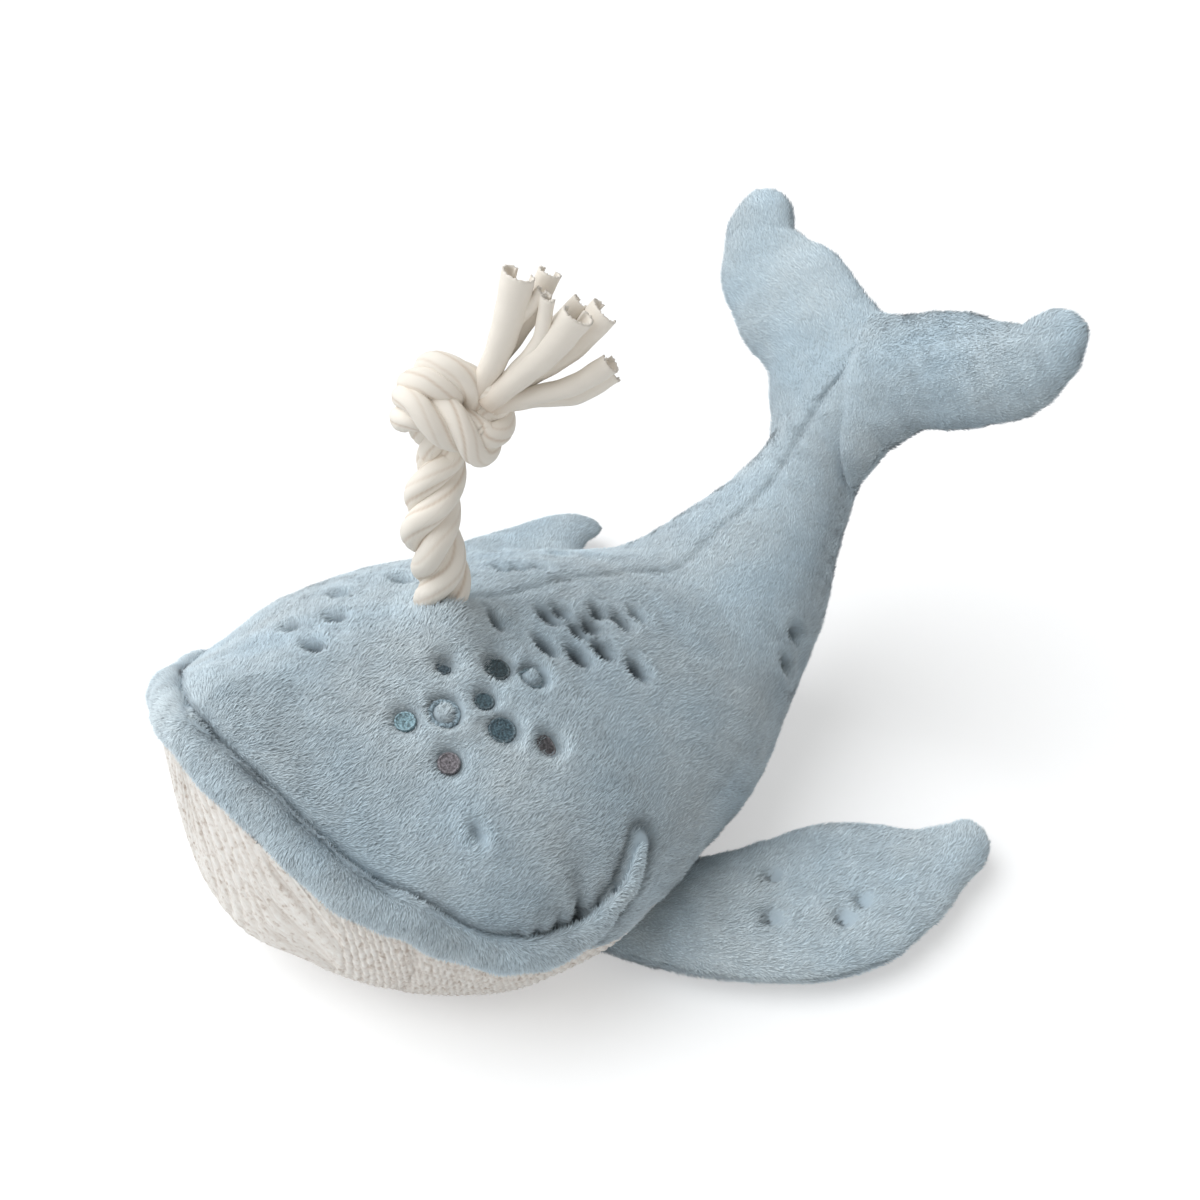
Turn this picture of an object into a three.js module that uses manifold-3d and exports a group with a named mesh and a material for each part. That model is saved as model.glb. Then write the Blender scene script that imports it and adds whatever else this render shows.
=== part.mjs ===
// Plush whale that lies on its belly: a wide head that tapers into a raised tail with two flukes,
// two flippers at the floor, a padded lip along the mouth line and a knotted jersey rope as its spout.
// The head points to -X, the whale's left side to -Y and +Z is up. The origin is the middle of the
// flat patch on which the belly rests. All sizes are millimetres.
import * as THREE from 'three';
import { mergeVertices } from 'three/addons/utils/BufferGeometryUtils.js';
import Module from 'manifold-3d';

const wasm = await Module();
wasm.setup();

// Driving sizes of the trunk: nose to notch, height of the back, width of the head, height of the notch
const trunkReach = 344;
const backHeight = 128;
const headWidth = 216;
const notchHeight = 193;
const tailRollDeg = 3;

// The weight presses the belly flat, and the tail bends where it starts to narrow
const restDepth = 3.6;
const tailJointShare = 0.72;

// Cloth and the fits between pieces
const fabricThickness = 2;
const seamGap = 0.5;
const layerGap = 0.4;
const lipGap = 1.8;
const fillGap = 2;
const jointGap = 1.2;

// Flukes: from the middle to a tip, from the leading edge to the height of the tip, the padding, and
// the place of the bend beside the middle; the right fluke lies flatter and shows more of its width
const flukeSpan = 98;
const flukeDepth = 62;
const flukeThickness = 25;
const flukeRoot = 26;
const flukeFullness = { left: 1, right: 1.24 };

// Flippers: root to tip, widest chord, padding and lift over the floor; the place of each root, as
// shares of the reach behind the nose and of the head's width beside the middle; the right flipper
// is a little wider; and the turn of each flipper to the whale's right
const flipperLength = 154;
const flipperWidth = 70;
const flipperThickness = 25;
const flipperLift = 1;
const flipperRootShares = { left: [0.4535, 0.412], right: [0.504, 0.44] };
const flipperFullness = { left: 1, right: 1.15 };
const flipperTurnDeg = { left: -3.5, right: 11.5 };
const flipperRootLength = 90;
const flipperSwingDeg = 24;

// Padded lip along the mouth line
const lipWidth = 16;
const lipThickness = 13;

// Spout rope: its diameter, how deep its root sits in the back, how far it leans, its buried end,
// its rise to the knot, the width of the knot, the rope in the knot, and the strips of its tassel
const ropeDiameter = 22.5;
const ropeSink = 4;
const ropeLeanDeg = 18;
const anchorLength = 26;
const ropeRise = 72.3;
const knotSize = 43;
const knotRopeDiameter = 19;
const tasselLength = 49;
const stripCount = 9;
const stripWidth = 9;
const stripThickness = 4.5;
const stripBaseWidth = 4.2;
const stripSpacing = 2.4;
const stripLayerOffset = 4;

// Embroidered spots: the widest one, and how high the thread stands
const spotSize = 12.5;
const spotThickness = 1.2;

const degree = Math.PI / 180;
const vector = (x, y, z) => new THREE.Vector3(x, y, z);
const mix = THREE.MathUtils.lerp;

// Solid of a closed geometry, for joins and cuts
function solidOf(geometry) {
  const bare = geometry.clone();
  bare.deleteAttribute('normal');
  bare.deleteAttribute('uv');
  const merged = mergeVertices(bare);
  return new wasm.Manifold(new wasm.Mesh({
    numProp: 3,
    vertProperties: merged.attributes.position.array,
    triVerts: new Uint32Array(merged.index.array),
  }));
}

// Geometry of a solid
function geometryOf(solid) {
  const mesh = solid.getMesh();
  const geometry = new THREE.BufferGeometry();
  geometry.setAttribute('position', new THREE.BufferAttribute(mesh.vertProperties, 3));
  geometry.setIndex(new THREE.BufferAttribute(mesh.triVerts, 1));
  return geometry;
}

const cut = (geometry, ...tools) => geometryOf(
  tools.reduce((solid, tool) => solid.subtract(solidOf(tool)), solidOf(geometry)));
const keep = (geometry, ...tools) => geometryOf(
  tools.reduce((solid, tool) => solid.intersect(solidOf(tool)), solidOf(geometry)));
const join = (geometry, ...others) => geometryOf(
  others.reduce((solid, other) => solid.add(solidOf(other)), solidOf(geometry)));

// Largest connected part of a geometry: slivers that a cut leaves behind are dropped
const largest = (geometry) => geometryOf(
  solidOf(geometry).decompose().reduce((best, part) => (part.volume() > best.volume() ? part : best)));

// Closed geometry from a list of triangle corners: equal corners are welded, flat triangles dropped
// and, where the surface faces inwards, every triangle is turned round
function surfaceOf(corners) {
  const merged = mergeVertices(new THREE.BufferGeometry().setFromPoints(corners));
  const position = merged.attributes.position;
  const corner = (at) => vector().fromBufferAttribute(position, merged.index.array[at]);
  const faces = [];
  let volume = 0;
  for (let at = 0; at < merged.index.count; at += 3) {
    const [a, b, c] = merged.index.array.slice(at, at + 3);
    if (a !== b && b !== c && c !== a) {
      faces.push([a, b, c]);
      volume += corner(at).dot(corner(at + 1).cross(corner(at + 2)));
    }
  }
  merged.setIndex(faces.flatMap(([a, b, c]) => (volume > 0 ? [a, b, c] : [a, c, b])));
  return merged;
}

const quad = (a, b, c, d) => [a, b, c, a, c, d];

// Corners of the quads between two rows of points of equal length
function strip(low, high) {
  return low.slice(1).flatMap((point, at) => quad(low[at], point, high[at + 1], high[at]));
}

// Form whose two ends are poles: pointAt gives its point at a share along and an angle round it
function closedForm(pointAt, alongs, turnSteps) {
  const rows = alongs.map((along) => Array.from({ length: turnSteps + 1 }, (_, step) =>
    pointAt(along, (step % turnSteps) / turnSteps * 2 * Math.PI)));
  return surfaceOf(rows.slice(1).flatMap((row, at) => strip(rows[at], row)));
}

// Cloth panel: a patch of a form between two angles, from an outer depth to an inner one
function panelForm(pointAt, alongs, turnsAt, turnSteps, outer, inner) {
  const layer = (depth) => alongs.map((along) => {
    const [from, to] = turnsAt(along);
    return Array.from({ length: turnSteps + 1 }, (_, step) =>
      pointAt(along, mix(from, to, step / turnSteps), depth));
  });
  const front = layer(outer);
  const back = layer(inner);
  const column = (rows, at) => rows.map((row) => row.at(at));
  return surfaceOf([
    ...front.slice(1).flatMap((row, at) => strip(front[at], row)),
    ...back.slice(1).flatMap((row, at) => strip(row, back[at])),
    ...strip(back[0], front[0]),
    ...strip(front.at(-1), back.at(-1)),
    ...strip(column(front, 0), column(back, 0)),
    ...strip(column(back, -1), column(front, -1)),
  ]);
}

// Point of a form moved inwards by a depth, square to the surface
const probeTurns = 8;
function withDepth(formPoint, probe = 0.004) {
  const normalAt = (along, turn) => {
    const before = formPoint(Math.max(along - probe, 0), turn);
    const after = formPoint(Math.min(along + probe, 1), turn);
    const left = formPoint(along, turn + probe);
    const right = formPoint(along, turn - probe);
    return left.sub(right).cross(after.sub(before)).normalize();
  };
  const middle = formPoint(0.5, 0).add(formPoint(0.5, Math.PI)).divideScalar(2);
  const outward = Math.sign(normalAt(0.5, 1).dot(formPoint(0.5, 1).sub(middle)));
  const round = Array.from({ length: probeTurns }, (_, step) => step / probeTurns * 2 * Math.PI);
  return (along, turn, depth = 0) => {
    if (depth === 0) {
      return formPoint(along, turn);
    }
    const inside = THREE.MathUtils.clamp(along, probe, 1 - probe);
    const normal = inside === along
      ? normalAt(along, turn)
      : round.reduce((sum, angle) => sum.add(normalAt(inside, angle)), vector()).normalize();
    return formPoint(along, turn).addScaledVector(normal, -depth * outward);
  };
}

// Size factor that rounds the end of a form like a quarter of a superellipse
function endRound(distance, roundLength, roundness) {
  const share = 1 - Math.min(distance / roundLength, 1);
  return (1 - share ** roundness) ** (1 / roundness);
}

// Shares from 0 to 1 that close up over a rounded start and a rounded end
function roundedSteps(startShare, startSteps, middleSteps, endShare, endSteps) {
  const start = Array.from({ length: startSteps }, (_, step) =>
    startShare * (1 - Math.cos(step / startSteps * Math.PI / 2)));
  const middle = Array.from({ length: middleSteps }, (_, step) =>
    mix(startShare, 1 - endShare, step / middleSteps));
  const end = Array.from({ length: endSteps + 1 }, (_, step) =>
    1 - endShare + endShare * Math.sin(step / endSteps * Math.PI / 2));
  return [...start, ...middle, ...end];
}

const power = (value, roundness) => Math.sign(value) * Math.abs(value) ** (2 / roundness);

// Spine of the trunk: shares of the reach behind the nose, of the head's width to the whale's left
// and of the height of the notch
const spineShares = [
  [0, 0, 0.54], [0.045, 0, 0.456], [0.1, 0, 0.387], [0.2, 0, 0.332], [0.3, 0, 0.308],
  [0.4, 0, 0.291], [0.5, 0.01, 0.307], [0.6, 0.02, 0.308], [0.7, 0.01, 0.338], [0.78, -0.005, 0.4],
  [0.85, -0.015, 0.499], [0.91, -0.015, 0.624], [0.96, 0, 0.801], [1, 0.01, 0.967],
];

// Half sizes of the trunk at equal steps along the spine: above and below it, as shares of the
// height of the back, and to each side, as shares of the width of the head
const trunkShares = [
  [0.158, 0.648, 0.314], [0.381, 0.542, 0.399], [0.457, 0.558, 0.467], [0.531, 0.519, 0.529],
  [0.538, 0.48, 0.542], [0.506, 0.474, 0.489], [0.432, 0.486, 0.425], [0.369, 0.469, 0.357],
  [0.267, 0.409, 0.274], [0.246, 0.313, 0.207], [0.182, 0.242, 0.14], [0.141, 0.172, 0.101],
  [0.128, 0.114, 0.123], [0.1, 0.095, 0.115],
];
const noseRoundShare = 0.23;
const noseFaceShare = 0.08;
const noseRoundness = 2.4;
const chinRoundness = 4.8;
const tailEndShare = 0.04;
const ridgeRoundness = 1.25;
const upperRoundness = 1.7;
const lowerRoundness = 2.8;
const ridgeEndShare = 0.45;
const rollStartShare = 0.35;

const rawSpine = new THREE.CatmullRomCurve3(
  spineShares.map(([reach, sway, height]) =>
    vector(reach * trunkReach, -sway * headWidth, height * notchHeight)));
const trunkSizes = new THREE.CatmullRomCurve3(
  trunkShares.map(([above, below, beside]) =>
    vector(above * backHeight, below * backHeight, beside * headWidth)));

// Directions of the trunk's section at a share along the spine: the sections stand upright in the
// head, lean back with the tail, and the tail rolls a little to its right
function trunkFrame(along) {
  const tangent = rawSpine.getTangentAt(along);
  const pitch = Math.max(0, Math.atan2(tangent.z, tangent.x));
  const roll = tailRollDeg * degree * THREE.MathUtils.smoothstep(along, rollStartShare, 1);
  const forward = vector(Math.cos(pitch), 0, Math.sin(pitch));
  const up = vector(-Math.sin(pitch), 0, Math.cos(pitch)).applyAxisAngle(forward, roll);
  const left = vector().crossVectors(forward, up);
  return { centre: rawSpine.getPointAt(along), forward, up, left };
}

const wideRound = (along) =>
  endRound(along, noseRoundShare, noseRoundness) * endRound(1 - along, tailEndShare, 2);

// Point of the trunk before it is set down on its belly; turn is 0 on the back and grows to the left
function rawTrunkPoint(along, turn) {
  const { centre, up, left } = trunkFrame(along);
  const size = trunkSizes.getPoint(along);
  const upper = Math.cos(turn) > 0;
  const tall = endRound(along, noseFaceShare, upper ? noseRoundness : chinRoundness)
    * endRound(1 - along, tailEndShare, 2);
  const wide = wideRound(along);
  const roundness = upper
    ? mix(ridgeRoundness, upperRoundness, THREE.MathUtils.smoothstep(along, 0, ridgeEndShare))
    : lowerRoundness;
  return centre
    .addScaledVector(up, (upper ? size.x : size.y) * tall * power(Math.cos(turn), roundness))
    .addScaledVector(left, size.z * wide * power(Math.sin(turn), roundness));
}

// The trunk is set down so that its belly presses a flat patch on the floor round the origin, which
// lies at this share of the reach behind the nose
const restShare = 0.441;
const bellySamples = 200;
const bellyLine = Array.from({ length: bellySamples }, (_, step) =>
  rawTrunkPoint((step + 0.5) / bellySamples, Math.PI));
const bellyHeight = Math.min(...bellyLine.map((point) => point.z));
const setDown = vector(-restShare * trunkReach, 0, -bellyHeight - restDepth);
const trunkPoint = withDepth((along, turn) => {
  const point = rawTrunkPoint(along, turn).add(setDown);
  return point.setZ(Math.max(point.z, 0));
});
const spineFrame = (along) => {
  const frame = trunkFrame(along);
  frame.centre.add(setDown);
  return frame;
};

// Basis of a place: its three directions and its origin
function placeOf(x, y, z, origin) {
  return new THREE.Matrix4().makeBasis(x, y, z).setPosition(origin);
}

const farReach = 3 * headWidth;
const arcSteps = 8;
const skinDepths = [0, fabricThickness];
const fillDepth = fabricThickness + fillGap;

// Region of a limb: everything outboard of an axis, and a round of the radius about it, so that a
// limb cut to it turns in a body cut by the same region with a larger radius
function limbRegion(radius, length, place) {
  const outline = new THREE.Shape();
  outline.moveTo(0, radius);
  outline.absarc(0, 0, radius, Math.PI / 2, 3 * Math.PI / 2, false);
  outline.lineTo(0, -farReach);
  outline.lineTo(farReach, -farReach);
  outline.lineTo(farReach, farReach);
  outline.lineTo(0, farReach);
  const region = new THREE.ExtrudeGeometry(
    outline, { depth: length, bevelEnabled: false, curveSegments: arcSteps });
  return region.translate(0, 0, -length / 2).applyMatrix4(place);
}

const whale = new THREE.Group();

// Adds a piece with its own material
function addPiece(name, geometry, colour, roughness = 0.95) {
  const material = new THREE.MeshStandardMaterial({ color: colour, roughness, metalness: 0 });
  const mesh = new THREE.Mesh(geometry, material);
  mesh.name = name;
  whale.add(mesh);
}

const furColour = 0x9fb4c3;
const furDarkColour = 0x8ea4b4;
const knitColour = 0xe3dcd4;
const fillColour = 0xf4f4f2;
const jerseyColour = 0xf0e8dc;
const threadDarkColour = 0x57707f;
const threadLightColour = 0x9bb6c6;

// Tail joint: a cylinder as high as the trunk, across it
const jointFrame = spineFrame(tailJointShare);
const jointTop = trunkPoint(tailJointShare, 0);
const jointBottom = trunkPoint(tailJointShare, Math.PI);
const tailJointRadius = jointTop.distanceTo(jointBottom) / 2;
const tailPlace = placeOf(
  jointFrame.forward, jointFrame.up, jointFrame.left,
  jointTop.clone().add(jointBottom).divideScalar(2));
const tailRegion = (radius) => limbRegion(radius, farReach, tailPlace);
const tailSocket = tailRegion(tailJointRadius + jointGap);
const tailKeeper = tailRegion(tailJointRadius);

// Flukes lie in the plane of the tail's end; the line and the half chords are shares of the fluke
const flukeLineShares = [
  [0.117, -0.349], [0.355, -0.113], [0.639, 0.047], [0.785, 0.152], [0.901, 0.469], [0.963, 0.58],
];
const flukeChordShares = [0.494, 0.411, 0.408, 0.34, 0.267, 0.198];
const flukePaddingShares = [1, 1, 0.92, 0.82, 0.68, 0.55];
const limbRootShare = 0.03;
const limbTipShare = 0.14;

// Form of a flat limb: a line in its plane, half chords square to the line and half paddings; a depth
// shrinks its sections towards the line
function limbForm(linePoints, halfChords, halfPaddings, place) {
  const line = new THREE.CatmullRomCurve3(linePoints);
  const sizes = new THREE.CatmullRomCurve3(
    halfChords.map((chord, at) => vector(chord, halfPaddings[at], 0)));
  return (along, turn, depth) => {
    const tangent = line.getTangentAt(along);
    const size = sizes.getPoint(along).multiplyScalar(
      endRound(along, limbRootShare, 2) * endRound(1 - along, limbTipShare, 2));
    const shrink = size.y > depth ? 1 - depth / size.y : 0;
    const point = line.getPointAt(along);
    point.x += tangent.y * size.x * shrink * Math.cos(turn);
    point.y -= tangent.x * size.x * shrink * Math.cos(turn);
    point.z += size.y * shrink * Math.sin(turn);
    return point.applyMatrix4(place);
  };
}

const limbSteps = roundedSteps(limbRootShare, 1, 8, limbTipShare, 3);
const limbSides = 12;
const coreInsetShare = 0.035;

// Adds a limb: two cloth panels sewn round its edge in its plane, and the stuffing between them,
// which ends a little before the cloth does
function addLimb(name, form, up, centre, keeper, colour) {
  const layer = (depth) => closedForm(
    (along, turn) => form(along, turn, depth), limbSteps, limbSides);
  const skin = keep(cut(layer(0), layer(fabricThickness)), keeper);
  const flat = vector().crossVectors(up, up.x === 0 ? vector(1, 0, 0) : vector(0, 1, 0)).normalize();
  const plane = placeOf(flat, vector().crossVectors(up, flat), up, centre);
  const half = (side) => new THREE.BoxGeometry(farReach, farReach, farReach)
    .translate(0, 0, side * (farReach + seamGap) / 2)
    .applyMatrix4(plane);
  const core = (along, turn) => {
    const place = mix(coreInsetShare, 1 - coreInsetShare, along);
    const fill = endRound(along, limbRootShare, 2) * endRound(1 - along, limbTipShare, 2);
    return form(place, turn, farReach).lerp(form(place, turn, fillDepth), fill);
  };
  addPiece(`${name}_top_panel`, keep(skin, half(1)), colour);
  addPiece(`${name}_under_panel`, keep(skin, half(-1)), colour);
  addPiece(`${name}_stuffing`, keep(closedForm(core, limbSteps, limbSides), keeper), fillColour);
}

// Cloth stops a little before the end of the trunk, where the panels would meet in one point
const clothEndShare = 0.004;
const clothSteps = (steps) => steps.map((along) =>
  THREE.MathUtils.clamp(along, clothEndShare, 1 - clothEndShare));

const tailEnd = spineFrame(1);
const flukeJointRadius = flukeThickness / 2;
const flukeSlotLength = 2 * flukeDepth;
const flukeSockets = [['left', 1], ['right', -1]].map(([side, sign]) => {
  const outboard = tailEnd.left.clone().multiplyScalar(sign);
  const fullness = flukeFullness[side];
  const limbPlace = placeOf(outboard, tailEnd.forward, tailEnd.up, tailEnd.centre);
  const form = limbForm(
    flukeLineShares.map(([span, depth], at) => vector(
      span * flukeSpan, (depth - (fullness - 1) * flukeChordShares[at]) * flukeDepth, 0)),
    flukeChordShares.map((share) => share * fullness * flukeDepth),
    flukePaddingShares.map((share) => share * flukeThickness / 2),
    limbPlace);
  const hinge = tailEnd.centre.clone().addScaledVector(outboard, flukeRoot);
  const axis = vector().crossVectors(outboard, tailEnd.up);
  const place = placeOf(outboard, tailEnd.up, axis, hinge);
  const keeper = limbRegion(flukeJointRadius, flukeSlotLength - 2 * jointGap, place);
  addLimb(`fluke_${side}`, form, tailEnd.up, tailEnd.centre, keeper, furColour);
  return limbRegion(flukeJointRadius + jointGap, flukeSlotLength, place);
});

// Flippers lie beside the belly; local x runs outboard and local y forward
const flipperLineShares = [
  [-0.07, 0.114], [0.073, -0.012], [0.185, -0.192], [0.234, -0.337], [0.262, -0.506],
  [0.297, -0.748], [0.274, -0.868], [0.226, -0.929],
];
const flipperChordShares = [0.338, 0.386, 0.485, 0.551, 0.554, 0.442, 0.23, 0.168];
const flipperPaddingShares = [0.9, 0.95, 1, 0.95, 0.85, 0.72, 0.6, 0.5];
const flipperJointRadius = flipperThickness / 2;

// Room for a limb that swings up: a round about its axis and the wedge that its padding sweeps
function swingRegion(radius, swing, reach, length, place) {
  const outline = new THREE.Shape();
  const top = vector(0, radius, 0).applyAxisAngle(vector(0, 0, 1), swing);
  outline.moveTo(top.x, top.y);
  outline.absarc(0, 0, radius, Math.PI / 2 + swing, 3 * Math.PI / 2, false);
  outline.lineTo(reach, -radius);
  outline.lineTo(top.x + reach * Math.cos(swing), top.y + reach * Math.sin(swing));
  const region = new THREE.ExtrudeGeometry(
    outline, { depth: length, bevelEnabled: false, curveSegments: arcSteps });
  return region.translate(0, 0, -length / 2).applyMatrix4(place);
}

const flipperSockets = [['left', 1], ['right', -1]].map(([side, sign]) => {
  const up = vector(0, 0, 1);
  const outboard = vector(0, -sign, 0).applyAxisAngle(up, flipperTurnDeg[side] * degree);
  const forward = vector(-1, 0, 0).applyAxisAngle(up, flipperTurnDeg[side] * degree);
  const [backShare, outShare] = flipperRootShares[side];
  const root = vector(
    setDown.x + backShare * trunkReach, -sign * outShare * headWidth,
    flipperThickness / 2 + flipperLift);
  const limbPlace = placeOf(outboard, forward, up, root);
  const form = limbForm(
    flipperLineShares.map(([out, ahead]) => vector(out * flipperLength, ahead * flipperLength, 0)),
    flipperChordShares.map((share) => share * flipperFullness[side] * flipperWidth),
    flipperPaddingShares.map((share) => share * flipperThickness / 2),
    limbPlace);
  const axis = vector().crossVectors(outboard, up);
  const place = placeOf(outboard, up, axis, root);
  const keeper = limbRegion(flipperJointRadius, farReach, place);
  addLimb(`flipper_${side}`, form, up, root, keeper, furColour);
  return swingRegion(
    flipperJointRadius + jointGap, flipperSwingDeg * degree, flipperWidth, flipperRootLength, place);
});

// Edge of the knit under the lip: angles from the back at equal steps along the head
const lipEndShare = 0.351;
const knitTurnsDeg = [4, 65, 87, 95, 98, 100, 103, 108];
const knitTurns = new THREE.CatmullRomCurve3(knitTurnsDeg.map((turn) => vector(turn * degree, 0, 0)));

// The knit belly narrows behind the lip and ends in a point between the flippers
const bellyEndShare = 0.64;
const chinEndShare = 0.13;
const knitTurn = (along) => mix(
  knitTurns.getPoint(Math.min(along / lipEndShare, 1)).x, Math.PI,
  THREE.MathUtils.smoothstep(along, lipEndShare, bellyEndShare));

// Angles that leave half a seam's gap beside the middle line and beside the edge of the knit
function seamTurns(along) {
  const share = Math.min(seamGap / 2 / (trunkSizes.getPoint(along).z * wideRound(along)), 1);
  const roundness = mix(
    ridgeRoundness, upperRoundness, THREE.MathUtils.smoothstep(along, 0, ridgeEndShare));
  return {
    back: Math.asin(share ** (roundness / 2)),
    edge: 3 * share,
    under: Math.asin(share ** (lowerRoundness / 2)),
  };
}

const trunkSteps = roundedSteps(noseRoundShare, 8, 13, tailEndShare, 2);
const beforeBellyEnd = [...trunkSteps.filter((along) => along < bellyEndShare), bellyEndShare];
const ropeShare = 0.305;

function backTurns(along) {
  const seam = seamTurns(along);
  return [seam.back, Math.min(knitTurn(along) - seam.edge, Math.PI - seam.under)];
}

function bellyTurns(along) {
  const from = Math.min(knitTurn(along) + seamTurns(along).edge, Math.PI);
  return [from, 2 * Math.PI - from];
}

// Seat of the rope: a round hollow that opens upwards as far as the rope may lean
const ropeRadius = ropeDiameter / 2;
const ropeRootPoint = trunkPoint(ropeShare, 0);
ropeRootPoint.z -= ropeSink;
const seatRadius = ropeRadius + jointGap;
const seatProfile = [new THREE.Vector2(0, -seatRadius)];
const seatSteps = 4;
for (let step = 1; step <= seatSteps; step += 1) {
  const angle = mix(-90, -ropeLeanDeg, step / seatSteps) * degree;
  seatProfile.push(new THREE.Vector2(seatRadius * Math.cos(angle), seatRadius * Math.sin(angle)));
}
const seatHeight = 2 * ropeSink + ropeRadius;
const seatRim = seatProfile.at(-1);
const seatTopRadius = seatRim.x + (seatHeight - seatRim.y) * Math.tan(ropeLeanDeg * degree);
seatProfile.push(new THREE.Vector2(seatTopRadius, seatHeight), new THREE.Vector2(0, seatHeight));
const ropeSeat = new THREE.LatheGeometry(seatProfile, 16)
  .rotateX(Math.PI / 2)
  .translate(ropeRootPoint.x, ropeRootPoint.y, ropeRootPoint.z);

// Buried end of the rope, sewn under the seam of the back
const anchorRadius = ropeRadius - fabricThickness;
const anchorTop = ropeRootPoint.z - seatRadius - layerGap;
const anchorForm = (grow) => new THREE.CapsuleGeometry(
  anchorRadius + grow, anchorLength - 2 * anchorRadius, 4, 10)
  .rotateX(Math.PI / 2)
  .translate(ropeRootPoint.x, ropeRootPoint.y, anchorTop - anchorLength / 2);
addPiece('rope_anchor', anchorForm(0), jerseyColour);

// Stitch hole between the seat and the buried end
const stitchHole = new THREE.CylinderGeometry(ropeSink, ropeSink, anchorLength, arcSteps)
  .rotateX(Math.PI / 2)
  .translate(ropeRootPoint.x, ropeRootPoint.y, anchorTop);

// Skins of the head, body and tail: one panel to each side of the seam along the back
for (const [side, sign] of [['left', 1], ['right', -1]]) {
  const mirrored = (along, turn, depth) => {
    const point = trunkPoint(along, sign * turn, depth);
    const { centre, left } = spineFrame(along);
    const beside = point.clone().sub(centre).dot(left) * sign;
    return point.addScaledVector(left, sign * Math.max(seamGap / 2 - beside, 0));
  };
  const skin = panelForm(mirrored, clothSteps(trunkSteps), backTurns, 9, ...skinDepths);
  addPiece(`back_panel_${side}`, cut(skin, tailSocket, ropeSeat, ...flipperSockets), furColour);
  addPiece(`tail_panel_${side}`, cut(keep(skin, tailKeeper), ...flukeSockets), furColour);
}

const chinEnd = chinEndShare - seamGap / 2 / trunkReach;
const bellyStart = chinEndShare + seamGap / 2 / trunkReach;
const chinSteps = clothSteps([...trunkSteps.filter((along) => along < chinEnd), chinEnd]);
const bellySteps = [bellyStart, ...beforeBellyEnd.filter((along) => along > bellyStart)];
const knitPanel = (steps) => largest(cut(
  panelForm(trunkPoint, steps, bellyTurns, 18, ...skinDepths), ...flipperSockets));
addPiece('chin_panel', knitPanel(chinSteps), knitColour);
addPiece('belly_panel', knitPanel(bellySteps), knitColour);

// Stuffing of the body and the tail fills the skins
const filling = closedForm((along, turn) => trunkPoint(along, turn, fillDepth), trunkSteps, 20);
addPiece('body_stuffing', cut(
  filling, tailSocket, ropeSeat, anchorForm(layerGap), stitchHole, ...flipperSockets), fillColour);
addPiece('tail_stuffing', cut(keep(filling, tailKeeper), ...flukeSockets), fillColour);

// Padded lip: a rolled strip of plush from flipper to flipper round the nose. Its middle passes
// these shares along the spine and angles from the back on each side
const lipPlaces = [
  [0.012, 0], [0.015, 28], [0.024, 44], [0.043, 57.5], [0.066, 71], [0.099, 83], [0.131, 89.5],
  [0.165, 92.5], [0.207, 95], [0.24, 95.2], [0.27, 94], [0.295, 91], [0.315, 86.5], [0.333, 80.5],
  [lipEndShare, 75],
];
const lipSpots = [
  ...lipPlaces.slice(1).reverse(),
  ...lipPlaces.map(([along, turn]) => [along, -turn]),
].map(([along, turn]) => [along, turn * degree]);
const lipCurve = new THREE.CatmullRomCurve3(lipSpots.map(([along, turn]) => trunkPoint(along, turn)));
const lipOutward = new THREE.CatmullRomCurve3(lipSpots.map(([along, turn]) =>
  trunkPoint(along, turn).sub(trunkPoint(along, turn, fabricThickness)).normalize()));
const lipEndRoundShare = 0.05;
function lipForm(along, turn) {
  const share = lipCurve.getUtoTmapping(along);
  const outward = lipOutward.getPoint(share).normalize();
  const tangent = lipCurve.getTangent(share);
  const across = vector().crossVectors(tangent, outward).normalize();
  const size = endRound(along, lipEndRoundShare, 2) * endRound(1 - along, lipEndRoundShare, 2);
  return lipCurve.getPoint(share)
    .addScaledVector(across, lipWidth / 2 * size * Math.cos(turn))
    .addScaledVector(outward, lipThickness / 2 * size * Math.sin(turn));
}
const lipSteps = roundedSteps(lipEndRoundShare, 2, 32, lipEndRoundShare, 2);
const trunkOutside = closedForm((along, turn) => trunkPoint(along, turn, -lipGap), trunkSteps, 44);
addPiece('lip', largest(cut(
  closedForm(lipForm, lipSteps, 10), trunkOutside, ...flipperSockets)), furDarkColour);

// Spout rope: points of its middle over its seat, back and up, as shares of its rise
const ropeLineShares = [
  [0, 0], [0, 0.18], [0, 0.37], [-0.045, 0.56], [-0.015, 0.735], [0.03, 0.9], [0.075, 1],
];
const ropeCurve = new THREE.CatmullRomCurve3(ropeLineShares.map(([back, rise]) =>
  vector(back, 0, rise).multiplyScalar(ropeRise).add(ropeRootPoint)));
const ropeSides = 5;
const roundOutline = (radius) => new THREE.Shape().absarc(0, 0, radius, 0, 2 * Math.PI, false);
const tubeForm = (curve, radius, steps) => new THREE.ExtrudeGeometry(roundOutline(radius), {
  extrudePath: curve, steps, curveSegments: ropeSides, bevelEnabled: false });

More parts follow.
